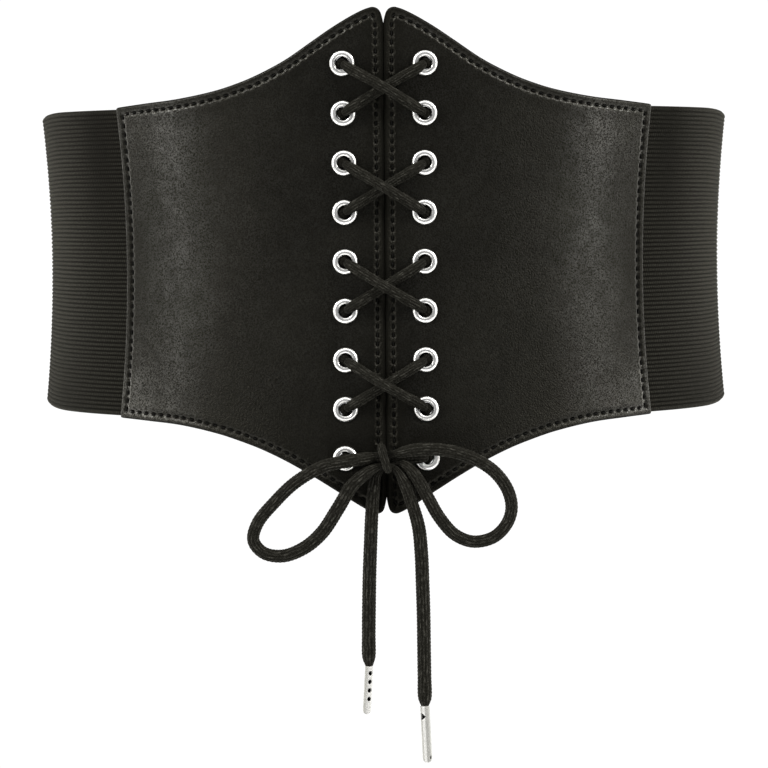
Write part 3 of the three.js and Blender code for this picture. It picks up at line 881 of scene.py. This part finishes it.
def repeat_tree(finish):
    """Geometry nodes that set a copy of a part on each point of a mesh, turned by its own directions."""
    tree = bpy.data.node_groups.new("part_on_each_seat", "GeometryNodeTree")
    for name, kind in (
        ("Seats", "NodeSocketGeometry"),
        ("Part", "NodeSocketObject"),
        ("Turn Wander", "NodeSocketFloat"),
        ("Size Wander", "NodeSocketFloat"),
        ("Seed", "NodeSocketInt"),
    ):
        tree.interface.new_socket(name, in_out="INPUT", socket_type=kind)
    tree.interface.new_socket("Parts", in_out="OUTPUT", socket_type="NodeSocketGeometry")
    graph = Graph(tree)
    given = tree.nodes.new("NodeGroupInput")

    def taken(name):
        return Wire(graph, given.outputs[name])

    def direction(name):
        values = {"Name": name}
        return graph.node("GeometryNodeInputNamedAttribute", {"data_type": "FLOAT_VECTOR"}, values)

    def wander(amount, step):
        values = {2: amount * -1, 3: amount, "Seed": taken("Seed") + step}
        return graph.node("FunctionNodeRandomValue", {"data_type": "FLOAT"}, values, output=1)

    lying = graph.node("FunctionNodeAlignRotationToVector", {"axis": "X"},
                       {"Vector": direction("along")})
    facing = graph.node("FunctionNodeAlignRotationToVector", {"axis": "Z", "pivot_axis": "X"},
                        {"Rotation": lying, "Vector": direction("outwards")})
    twist = graph.node("ShaderNodeCombineXYZ", values={2: wander(taken("Turn Wander"), 1)})
    turned = graph.node("FunctionNodeRotateRotation", {"rotation_space": "LOCAL"},
                        {0: facing, 1: graph.node("FunctionNodeEulerToRotation", values={0: twist})})
    part = graph.node("GeometryNodeObjectInfo", values={"Object": taken("Part")}, output="Geometry")
    size = 1 + wander(taken("Size Wander"), 2)
    copies = graph.node("GeometryNodeInstanceOnPoints", values={
        "Points": taken("Seats"), "Instance": part, "Rotation": turned,
        "Scale": graph.node("ShaderNodeCombineXYZ", values={0: size, 1: size, 2: size})})
    real = graph.node("GeometryNodeRealizeInstances", values={0: copies})
    finished = graph.node("GeometryNodeSetMaterial", values={"Geometry": real, "Material": finish.material})
    graph.node("NodeGroupOutput", values={0: finished}, output=None)
    return tree


def repeat_part(name, seats, along, outwards, part, finish, turn_wander=0.0, size_wander=0.0, seed=1):
    """One mesh of copies of part, its X along and its Z outwards at each seat."""
    directions = {"along": along, "outwards": outwards}
    holder = make_piece(name + "_seats", seats, [], finish, values=directions)
    tree = repeat_tree(finish)
    inputs = {"Part": part, "Turn Wander": turn_wander, "Size Wander": size_wander, "Seed": seed}
    return plain_mesh_of(name, holder, tree, inputs, [part])


def plain_mesh_of(name, holder, tree, inputs, spares=()):
    """What the node tree makes of holder's mesh, as an object with a plain mesh."""
    modifier = holder.modifiers.new("nodes", "NODES")
    modifier.node_group = tree
    for item in tree.interface.items_tree:
        if item.in_out == "INPUT" and item.name in inputs:
            modifier[item.identifier] = inputs[item.name]
    graph = bpy.context.evaluated_depsgraph_get()
    mesh = bpy.data.meshes.new_from_object(holder.evaluated_get(graph), depsgraph=graph)
    mesh.name = name
    mesh.shade_smooth()
    holder.modifiers.remove(modifier)
    piece = bpy.data.objects.new(name, mesh)
    bpy.context.scene.collection.objects.link(piece)
    for spare in (holder, *spares):
        bpy.data.objects.remove(spare)
    return piece


# Eyelets

EYELET_SIDES = 48
EYELET_PROFILE = (
    (2.7, -2.95), (2.95, -3.12), (3.4, -3.15), (3.9, -2.98), (4.2, -2.7), (4.28, -2.42), (4.1, -2.3),
    (3.1, -2.3), (3.1, 0.1), (4.5, 0.02), (4.72, 0.1), (4.84, 0.32), (4.8, 0.6), (4.62, 0.88),
    (4.32, 1.1), (3.98, 1.24), (3.62, 1.29), (3.3, 1.26), (3, 1.18), (2.78, 1.04), (2.65, 0.84),
    (2.6, 0.6), (2.62, 0.36), (2.69, 0.1),
)


def make_ring(finish):
    """One eyelet about the Z axis: a rolled flange in front, the barrel, and the clinched rim behind."""
    profile = np.array(EYELET_PROFILE)[::-1]
    turn = FULL_TURN * np.arange(EYELET_SIDES) / EYELET_SIDES
    rings = np.stack([
        profile[:, 0] * np.cos(turn)[:, None],
        profile[:, 0] * np.sin(turn)[:, None],
        profile[:, 1] + 0 * turn[:, None],
    ], axis=2)
    faces = wrap_grid(EYELET_SIDES, len(profile), closed_along=True)
    # The inside of the barrel is painted near black as shade in the bore
    barrel_painted_shade = ((profile[:, 0] < 2.75) & (profile[:, 1] < 0.7)) * 1.0
    values = {"hollow": np.tile(barrel_painted_shade, EYELET_SIDES)}
    return make_piece("ring", rings.reshape(-1, 3), faces, finish, values=values)


def make_eyelets(finish):
    seats = [*SEATS["left"], *SEATS["right"]]
    outwards = np.array([seat.outward for seat in seats])
    along = unit(UPRIGHT - outwards * outwards[:, 2:3])
    points = [seat.point for seat in seats]
    return repeat_part("eyelets", points, along, outwards, make_ring(finish), finish)


# Panel outline, laid flat as distance round the waist and height

EDGE_STEP = 0.58
STITCH_INSET = 3
STITCH_PITCH = 3.4
TOUCHING_EDGE = -0.01
CENTRE_CORNER = 2.6
SEAM_CORNER = 1.1


def read_outline(share, column):
    """The column's value at a share of the girth, on a smooth line through the table."""
    girths = np.array(OUTLINE_GIRTH)
    values = np.array(column)
    to = np.clip(np.searchsorted(girths, share), 1, len(girths) - 1)
    start = to - 1
    before = np.maximum(to - 2, 0)
    after = np.minimum(to + 1, len(girths) - 1)
    span = girths[to] - girths[start]
    t = (share - girths[start]) / span
    slope_start = (values[to] - values[before]) / np.maximum(girths[to] - girths[before], span) * span
    slope_end = (values[after] - values[start]) / np.maximum(girths[after] - girths[start], span) * span
    mix = t * t * (3 - 2 * t)
    return (values[start] * (1 - mix) + values[to] * mix
            + slope_start * t * (1 - t) ** 2 - slope_end * t * t * (1 - t))


def notch_lean(height):
    top = np.clip((height - (PEAK_HEIGHT - NOTCH_TOP)) / NOTCH_TOP, 0, 1)
    bottom = np.clip((-height - (TIP_HEIGHT - NOTCH_BOTTOM)) / NOTCH_BOTTOM, 0, 1)
    return NOTCH_TOP_HALF_WIDTH * top ** NOTCH_CURVE + NOTCH_BOTTOM_HALF_WIDTH * bottom ** NOTCH_CURVE


def seam_girth(height):
    return PANEL_GIRTH + SEAM_HOLLOW * (height / SEAM_HEIGHT) ** 2


def panel_outline():
    """The outline of the right panel, anticlockwise from the top of its centre edge."""
    share = np.linspace(0, 1, 400) ** 1.3
    centre = TOUCHING_EDGE
    lean_reach = 0.04

    def edge(height):
        lean = notch_lean(height) * np.maximum(0, 1 - share / lean_reach)
        return np.stack([centre + lean + (seam_girth(height) - centre) * share, height], axis=1)

    top = edge(SEAM_HEIGHT + (PEAK_HEIGHT - SEAM_HEIGHT) * read_outline(share, OUTLINE_RISE))
    bottom = edge(-SEAM_HEIGHT - (TIP_HEIGHT - SEAM_HEIGHT) * read_outline(share, OUTLINE_DROP))
    down = np.linspace(PEAK_HEIGHT, -TIP_HEIGHT, 800)
    middle = np.stack([centre + notch_lean(down), down], axis=1)
    up = np.linspace(-SEAM_HEIGHT, SEAM_HEIGHT, 400)
    seam = np.stack([seam_girth(up), up], axis=1)
    edges = [middle, bottom, seam, top[::-1]]
    corners = [CENTRE_CORNER, SEAM_CORNER, SEAM_CORNER, CENTRE_CORNER]
    outline = []
    for i, line in enumerate(edges):
        start = trimmed(line, corners[i - 1])
        cut = trimmed(start[::-1], corners[i])[::-1]
        ahead = trimmed(edges[(i + 1) % 4], corners[i])[0]
        t = np.linspace(0, 1, 9)[1:-1, None]
        bend = (1 - t) ** 2 * cut[-1] + 2 * t * (1 - t) * line[-1] + t ** 2 * ahead
        outline += [cut, bend]
    return evenly_spaced(np.vstack(outline), EDGE_STEP, closed=True)


def trimmed(line, length):
    """The line without that much of its start."""
    run = run_along(line)
    first = np.array([[np.interp(length, run, column) for column in line.T]])
    return np.vstack([first, line[run > length]])


def inward_normals(outline):
    ahead = unit(np.roll(outline, -1, axis=0) - np.roll(outline, 1, axis=0))
    return np.stack([-ahead[:, 1], ahead[:, 0]], axis=1)


def nearest_on(loop, points):
    """How far each point is from a closed loop, and how far round the loop its nearest place is."""
    ahead = np.roll(loop, -1, axis=0) - loop
    lengths = np.linalg.norm(ahead, axis=1)
    run = np.concatenate([[0], np.cumsum(lengths)[:-1]])
    distance = np.empty(len(points))
    place = np.empty(len(points))
    for first in range(0, len(points), 1500):
        chunk = points[first:first + 1500]
        offset = chunk[:, None, :] - loop[None]
        share = np.clip((offset * ahead).sum(2) / lengths ** 2, 0, 1)
        gap = np.linalg.norm(offset - share[:, :, None] * ahead, axis=2)
        best = gap.argmin(axis=1)
        rows = np.arange(len(chunk))
        distance[first:first + 1500] = gap[rows, best]
        place[first:first + 1500] = run[best] + share[rows, best] * lengths[best]
    return distance, place


def inset(outline, depth):
    """The outline's points moved inwards, without those that a corner brings too near the edge."""
    moved = outline + inward_normals(outline) * depth
    distance, _ = nearest_on(outline, moved)
    return moved[distance > depth - 0.02]


def is_inside(loop, points):
    """Whether each point is inside the closed loop."""
    x = points[:, 0][:, None]
    y = points[:, 1][:, None]
    start = loop
    end = np.roll(loop, -1, axis=0)
    spans = (start[:, 1] > y) != (end[:, 1] > y)
    rise = np.where(end[:, 1] == start[:, 1], 1, end[:, 1] - start[:, 1])
    crossing = start[:, 0] + (y - start[:, 1]) / rise * (end[:, 0] - start[:, 0])
    return (spans & (x < crossing)).sum(axis=1) % 2 == 1


# Front panels

EDGE_RINGS = (0.14, 0.4, 0.8, 1.3, 1.8, 2.2, 2.55, 2.85, 3.15, 3.5, 3.9, 4.5, 5.3, 6.4)
EYELET_RINGS = (4.4, 5.0, 5.5, 6.2, 7.2, 8.4)
HOLE_RADIUS = 3.5
FIELD_PITCH = 2.0
FIELD_EDGE = 7.7


def ring_of_points(centre, radius, count=32, phase=0.0):
    turn = FULL_TURN * (np.arange(count) + phase) / count
    return np.stack([centre[0] + radius * np.cos(turn), centre[1] + radius * np.sin(turn)], axis=1)


def panel_points(outline, eyelet_centres):
    """Places inside the outline where the leather's surface has points: rows along its edge, rings
    round the eyelets and an even field between them."""
    rows = [inset(outline, depth) for depth in EDGE_RINGS]
    rings = [ring_of_points(centre, radius, phase=0.5 * (i % 2))
             for centre in eyelet_centres for i, radius in enumerate(EYELET_RINGS)]
    low = outline.min(axis=0)
    high = outline.max(axis=0)
    height = FIELD_PITCH * math.sqrt(3) / 2
    field = []
    for i, z in enumerate(np.arange(low[1], high[1], height)):
        girth = np.arange(low[0] + (i % 2) * FIELD_PITCH / 2, high[0], FIELD_PITCH)
        field.append(np.stack([girth, 0 * girth + z], axis=1))
    field = np.vstack(field)
    field = field[is_inside(outline, field)]
    distance, _ = nearest_on(outline, field)
    from_eyelet = distance_to_centres(field, eyelet_centres)
    field = field[(distance > FIELD_EDGE) & (from_eyelet > EYELET_RINGS[-1] + 1)]
    return np.vstack([*rows, *rings, field])


def distance_to_centres(points, centres):
    return np.linalg.norm(points[:, None, :] - np.array(centres)[None], axis=2).min(axis=1)


def fill_panel(outline, holes, inside_points):
    """Triangles over the outline that leave the holes open."""
    loops = [outline, *holes]
    edges = []
    count = 0
    for loop in loops:
        edges += [(count + i, count + (i + 1) % len(loop)) for i in range(len(loop))]
        count += len(loop)
    given = np.vstack([*loops, inside_points])
    flat, _, triangles, _, _, _ = delaunay_2d_cdt([Vector(p) for p in given], edges, [], 0, 1e-5)
    flat = np.array([tuple(p) for p in flat])
    triangles = np.array([tuple(t) for t in triangles])
    centres = flat[triangles].mean(axis=1)
    keep = is_inside(outline, centres)
    for hole in holes:
        keep &= ~is_inside(hole, centres)
    return flat, triangles[keep]


def edge_profile(distance):
    """Height over the panel's middle: the turned edge rises in a round, slopes down to the stitches and puffs
    up again inside them."""
    depths = (0, 0.14, 0.4, 0.8, 1.3, 1.8, 2.2, 2.55, 2.85, 3.15, 3.5, 3.9, 4.5, 5.3, 6.4, 9)
    heights = (0.3, 0.78, 1.1, 1.26, 1.21, 1.07, 0.93, 0.8, 0.69, 0.67, 0.8, 1.03, 1.21, 1.22, 1.13, 1)
    return np.interp(distance, depths, heights)


def soft_dents(girth, height):
    """Slow waves of a soft skin over its stiffening, in millimetres."""
    return (0.07 * np.sin(girth * 0.11 + height * 0.034 + 1.3)
            + 0.05 * np.sin(girth * 0.19 - height * 0.071 + 0.4)
            + 0.04 * np.sin(height * 0.16 + girth * 0.05 + 2.1))


class StitchLine:
    """The closed line of stitches inside a panel's edge."""

    def __init__(self, outline):
        self.loop = inset(outline, STITCH_INSET)
        closed = np.vstack([self.loop, self.loop[:1]])
        length = path_length(closed)
        self.pitch = length / round(length / STITCH_PITCH)
        self.centres = evenly_spaced(self.loop, self.pitch, closed=True)

    def phase(self, points):
        """How far points are from the line, and their place along it, whole at the middle of a stitch."""
        distance, place = nearest_on(self.loop, points)
        return distance, place / self.pitch


def panel_heights(flat, outline, stitches, eyelet_centres):
    """Height over the panel's middle at each point, outside and inside, how worn it is there, and where it is
    painted with shade.
    """
    from_edge, _ = nearest_on(outline, flat)
    from_stitch, phase = stitches.phase(flat)
    from_eyelet = distance_to_centres(flat, eyelet_centres)
    at_stitch = smooth_share(np.cos(FULL_TURN * phase), -0.5, 0.4)
    in_groove = np.exp(-(from_stitch / 0.6) ** 4)
    across = from_edge - STITCH_INSET
    beside = np.exp(-((np.abs(across) - 0.8) / 0.5) ** 2) * np.where(across < 0, 0.45, 0.8)
    hole = at_stitch * in_groove
    outside = edge_profile(from_edge) - 0.4 * hole + 0.22 * (1 - at_stitch) * beside
    outside += soft_dents(flat[:, 0], flat[:, 1]) * smooth_share(from_edge, 5, 12)
    outside -= 0.22 * (1 - smooth_share(from_eyelet, 4.9, 7.8))
    inside = -1 * (1 - (1 - np.clip(from_edge / 1.2, 0, 1)) ** 2) ** 0.5
    inside = np.minimum(inside, -0.25) + 0.12 * in_groove
    wear = np.exp(-((from_edge - 1.3) / 0.8) ** 2)
    # Painted shade: the needle holes and the gap between the panels are painted dark; a thin line along every
    # edge is dark too
    by_gap = 1 - smooth_share(flat[:, 0], 1.6, 2.6)
    by_edge = 1 - smooth_share(from_edge - 0.65 * by_gap, 0.2, 0.85)
    dark = np.maximum(smooth_share(hole, 0.15, 0.6), by_edge)
    return outside, inside, wear, dark


def uneven(girth, height, spots):
    """1, and more or less round each spot: its girth, height, reach both ways and how much more."""
    total = 1 + 0 * girth * height
    for spot_girth, spot_height, girth_reach, height_reach, more in spots:
        away = ((girth - spot_girth) / girth_reach) ** 2 + ((height - spot_height) / height_reach) ** 2
        total = total + more * np.exp(-away)
    return total


# Painted highlights and painted shade: the leather's coat shines more or less round each spot
LEATHER_PAINTED_LIGHT = (
    (103, 0, 8, 30, -0.6),
    (90, 54, 15, 16, 0.85),
    (83, 22, 4.5, 24, 0.5),
    (103, -55, 9, 13, 1.9),
    (64, 48, 11, 34, -0.55),
    (64, -50, 11, 34, -0.55),
    (22, -82, 42, 32, -0.55),
    (22, 80, 34, 26, -0.2),
    (2, 0, 4.5, 400, -0.85),
)


def make_panel(name, side, finish):
    outline = panel_outline()
    stitches = StitchLine(outline)
    eyelet_centres = [(EYELET_GIRTH, seat.height) for seat in SEATS["right"]]
    holes = [ring_of_points(centre, HOLE_RADIUS) for centre in eyelet_centres]
    flat, triangles = fill_panel(outline, holes, panel_points(outline, eyelet_centres))
    outside, inside, wear, dark = panel_heights(flat, outline, stitches, eyelet_centres)
    girth = side * flat[:, 0]
    front = wall_point(girth, flat[:, 1], LEATHER_MIDDLE + outside)
    back = wall_point(girth, flat[:, 1], LEATHER_MIDDLE + inside)
    count = len(flat)
    faces = [*map(tuple, triangles), *map(tuple, triangles[:, ::-1] + count)]
    faces += [(b, a, a + count, b + count) for a, b in open_edges(triangles)]
    if side < 0:
        faces = [face[::-1] for face in faces]
    # The points carry the coat's painted highlights and shade, and the painted dark of the needle holes, the gap
    # and the edges
    values = {
        "painted_light_gloss": np.concatenate([uneven(flat[:, 0], flat[:, 1], LEATHER_PAINTED_LIGHT), 0 * wear + 1]),
        "wear": np.concatenate([wear, 0 * wear]),
        "hole": np.concatenate([dark, 0 * dark]),
        "lining": np.concatenate([0 * wear, 0 * wear + 1]),
    }
    return make_piece(name, np.vstack([front, back]), faces, finish, values=values)


def open_edges(triangles):
    """Edges that only one triangle has, in that triangle's direction."""
    edges = np.vstack([triangles[:, [0, 1]], triangles[:, [1, 2]], triangles[:, [2, 0]]])
    present = set(map(tuple, edges.tolist()))
    return [edge for edge in map(tuple, edges.tolist()) if edge[::-1] not in present]


# Stitches

STITCH_LENGTH = 1.9
THREAD_RADIUS = 0.25
STITCH_BOW = 0.2
STITCH_SIDES = 6
STITCH_STATIONS = 6
SEAM_PATCH_GIRTH = PANEL_GIRTH - ELASTIC_OVERLAP


def make_stitch(finish):
    """One stitch along X: a short thread that bows up from the leather and dips into it at both ends."""
    share = np.linspace(-1, 1, STITCH_STATIONS)
    sink = STITCH_BOW * (1 - share ** 2) - STITCH_BOW
    centres = np.stack([share * STITCH_LENGTH / 2, 0 * share, sink], axis=1)
    radius = THREAD_RADIUS * np.array([0.55, 0.95, 1, 1, 0.95, 0.55])
    turn = FULL_TURN * np.arange(STITCH_SIDES) / STITCH_SIDES
    ring = np.stack([0 * turn, np.cos(turn), np.sin(turn)], axis=1)
    points = centres[:, None, :] + radius[:, None, None] * ring[None]
    return make_piece("stitch", points.reshape(-1, 3), wrap_grid(STITCH_STATIONS, STITCH_SIDES), finish)


def stitch_seats(side):
    """Points, directions along the seam and directions out of the leather, on both faces of a panel."""
    stitches = StitchLine(panel_outline())
    girth = side * stitches.centres[:, 0]
    height = stitches.centres[:, 1]
    outward = wall_normal(girth, height)
    front = wall_point(girth, height, LEATHER_OUTSIDE - 0.32)
    through_elastic = stitches.centres[:, 0] > SEAM_PATCH_GIRTH
    back = wall_point(girth, height, np.where(through_elastic, -0.02, LEATHER_INSIDE + 0.05))
    along = unit(np.roll(front, -1, axis=0) - np.roll(front, 1, axis=0))
    return np.vstack([front, back]), np.vstack([along, along]), np.vstack([outward, -outward])


def make_stitches(finish):
    points, along, outwards = (np.vstack(pair) for pair in zip(stitch_seats(-1), stitch_seats(1)))
    return repeat_part("stitches", points, along, outwards, make_stitch(finish), finish,
                       turn_wander=0.07, size_wander=0.06, seed=7)


# Elastic

COLUMN_PITCH = 4.5
RIB_CREST = 0.12
RIB_GROOVE = -0.5
RIB_ROUNDNESS = 0.75

# Painted light and shade: the elastic is darker or paler round each spot
ELASTIC_PAINTED_LIGHT = (
    (123, 46, 11, 32, -0.85),
    (152, 4, 16, 34, 0.75),
    (150, -62, 20, 20, -0.8),
)


def rib_tree(finish):
    """Geometry nodes that raise ribs on a smooth band, from each point's place between two grooves."""
    tree = bpy.data.node_groups.new("ribs_along_a_band", "GeometryNodeTree")
    for name, kind in (
        ("Band", "NodeSocketGeometry"),
        ("Crest", "NodeSocketFloat"),
        ("Groove", "NodeSocketFloat"),
        ("Roundness", "NodeSocketFloat"),
    ):
        tree.interface.new_socket(name, in_out="INPUT", socket_type=kind)
    tree.interface.new_socket("Ribbed", in_out="OUTPUT", socket_type="NodeSocketGeometry")
    graph = Graph(tree)
    given = tree.nodes.new("NodeGroupInput")
    crest, groove, roundness = (Wire(graph, given.outputs[name]) for name in ("Crest", "Groove", "Roundness"))
    rib = graph.node("GeometryNodeInputNamedAttribute", {"data_type": "FLOAT"}, {"Name": "rib"})
    outwards = graph.node("GeometryNodeInputNamedAttribute", {"data_type": "FLOAT_VECTOR"}, {"Name": "outwards"})
    rise = groove + (crest - groove) * abs((rib * math.pi).sine()) ** roundness
    offset = graph.node("ShaderNodeVectorMath", {"operation": "SCALE"}, {0: outwards, "Scale": rise})
    raised = graph.node("GeometryNodeSetPosition", values={
        "Geometry": Wire(graph, given.outputs["Band"]), "Offset": offset})
    real = graph.node("GeometryNodeRealizeInstances", values={0: raised})
    finished = graph.node("GeometryNodeSetMaterial", values={"Geometry": real, "Material": finish.material})
    graph.node("NodeGroupOutput", values={0: finished}, output=None)
    return tree


def make_elastic(finish):
    """The band from behind one panel's seam, round the back, to behind the other's."""
    girth_length = 2 * (GIRTHS[-1] - SEAM_PATCH_GIRTH)
    columns = round(girth_length / COLUMN_PITCH)
    run = np.linspace(0, girth_length, columns + 1)
    from_front = SEAM_PATCH_GIRTH + np.minimum(run, girth_length - run)
    near = girth_to_angle(from_front)
    angle = np.where(run < girth_length / 2, near, FULL_TURN - near)
    dip = ELASTIC_SIDE_DIP * smooth_share(near, *SIDE_DIP_ANGLES)
    rib = np.concatenate([(np.arange(RIB_COUNT)[:, None] + RIB_PHASES).ravel(), [RIB_COUNT]])
    share = 1 - 2 * rib / RIB_COUNT
    share = np.concatenate([share, [-1.006], share[::-1], [1.006]])
    section_rib = np.concatenate([rib, [RIB_COUNT], rib[::-1], [0]])
    rows = len(rib)
    is_outside = np.arange(len(share)) < rows
    is_selvedge = np.isin(np.arange(len(share)), (rows, len(share) - 1))
    outwards = np.where(is_outside, ELASTIC_WALL, 0.0)
    outwards[is_selvedge] = ELASTIC_WALL / 2
    height = share[None, :] * (ELASTIC_HALF_HEIGHT - dip)[:, None]
    wander = 0.1 * np.sin(run[:, None] / 19 + section_rib[None, :] * 0.7) * (1 - share[None, :] ** 8)
    points = waist_point(angle[:, None], height + wander, outwards[None, :])
    beyond = waist_point(angle[:, None], height + wander, outwards[None, :] + 1)
    normal = (beyond - points) * np.where(is_outside, 1, -0.8)[None, :, None]
    normal[:, is_selvedge] = 0
    around = np.arange(len(share) + 1)
    flat = wrap_flat(around, run)
    heights = np.append(share, share[0]) * ELASTIC_HALF_HEIGHT
    flat = np.stack([flat[:, 1], heights[flat[:, 0].astype(int)]], axis=1)
    values = {
        "rib": np.tile(section_rib, len(run)),
        # painted light and shade round the spots
        "painted_light_tone": uneven(from_front[:, None], height, ELASTIC_PAINTED_LIGHT).ravel(),
        "outwards": normal.reshape(-1, 3),
    }
    faces = wrap_grid(len(run), len(share))
    band = make_piece("band", points.reshape(-1, 3), faces, finish, flat, values)
    inputs = {
        "Crest": RIB_CREST * MILLIMETRE,
        "Groove": RIB_GROOVE * MILLIMETRE,
        "Roundness": RIB_ROUNDNESS,
    }
    return plain_mesh_of("elastic_wall", band, rib_tree(finish), inputs)


# The belt

def place(piece, slot_name, *nodes):
    """Fixes a finished piece to the belt, in place of the plain solids it stands for."""
    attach(piece, "root")
    if nodes:
        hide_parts(*nodes)
    return piece


make_camera()
make_studio()
make_floor()

lace = make_lace_finish()
nickel = make_nickel("bright_nickel", 0.92, 0.85, 0.22, 1)
tip_metal = make_nickel("dull_nickel", 0.5, 0.41, 0.4, 0.2)

left_line = loose_stations(SEATS["right"][-1], SEATS["left"][-1], LEFT_LOOP_ROUTE)
right_line = loose_stations(SEATS["left"][-1], SEATS["right"][-1], RIGHT_LOOP_ROUTE)
left_loop, left_centres = make_lace("left_loop", left_line, lace)
right_loop, right_centres = make_lace("right_loop", right_line, lace)
held_lace, _ = make_lace("held_lace", lacing_stations(), lace)
knot_band = make_wrap(lace)

PIN_PLACES = [(0.48, 2.75 + 3.35 * i) for i in range(4)]
# Painted light on the aglets: how much painted shade darkens each tip at angles from the front; the strips left
# bright are painted highlights
LEFT_TIP_SHADING = ((-1.6, 0.9), (-0.7, 0.9), (-0.2, 0.4), (0.2, 0.1), (1.6, 0.5))
RIGHT_TIP_SHADING = ((-1.6, 0.7), (-0.8, 0.9), (-0.6, 0), (-0.2, 0), (0.02, 0.75), (0.8, 0.8), (1.6, 0.5))
pins = pin_holes(0.8, PIN_PLACES, 0.92)
left_tip = make_aglet("left_tip", right_centres, 19, 1.55, math.radians(-4), pins, LEFT_TIP_SHADING, tip_metal)
right_tip = make_aglet("right_tip", left_centres, 22.4, 1.82, math.radians(2), crimp, RIGHT_TIP_SHADING, tip_metal)

place(left_loop, "lace", "lace_left_loop")
place(right_loop, "lace", "lace_right_loop")
place(held_lace, "lace", "lacing")
place(knot_band, "lace", "knot_wrap")
place(left_tip, "metal", "aglet_left")
place(right_tip, "metal", "aglet_right")


def declare_loose_lace(centres):
    path = centres[::4] if (len(centres) - 1) % 4 == 0 else np.vstack([centres[::4], centres[-1:]])
    tuple(centres[0] * MILLIMETRE)
    (path * MILLIMETRE).tolist()


declare_loose_lace(left_centres)
declare_loose_lace(right_centres)

leather = make_leather()
place(make_panel("left_panel", -1, leather), "leather", "front_panel_left")
place(make_panel("right_panel", 1, leather), "leather", "front_panel_right")
place(make_stitches(make_thread()), "leather")
place(make_elastic(make_elastic_finish()), "elastic", "elastic_band")
eyelet_names = [f"eyelet_{side}_{row + 1}" for side in SEATS for row in range(EYELETS_PER_SIDE)]
place(make_eyelets(nickel), "metal", *eyelet_names)
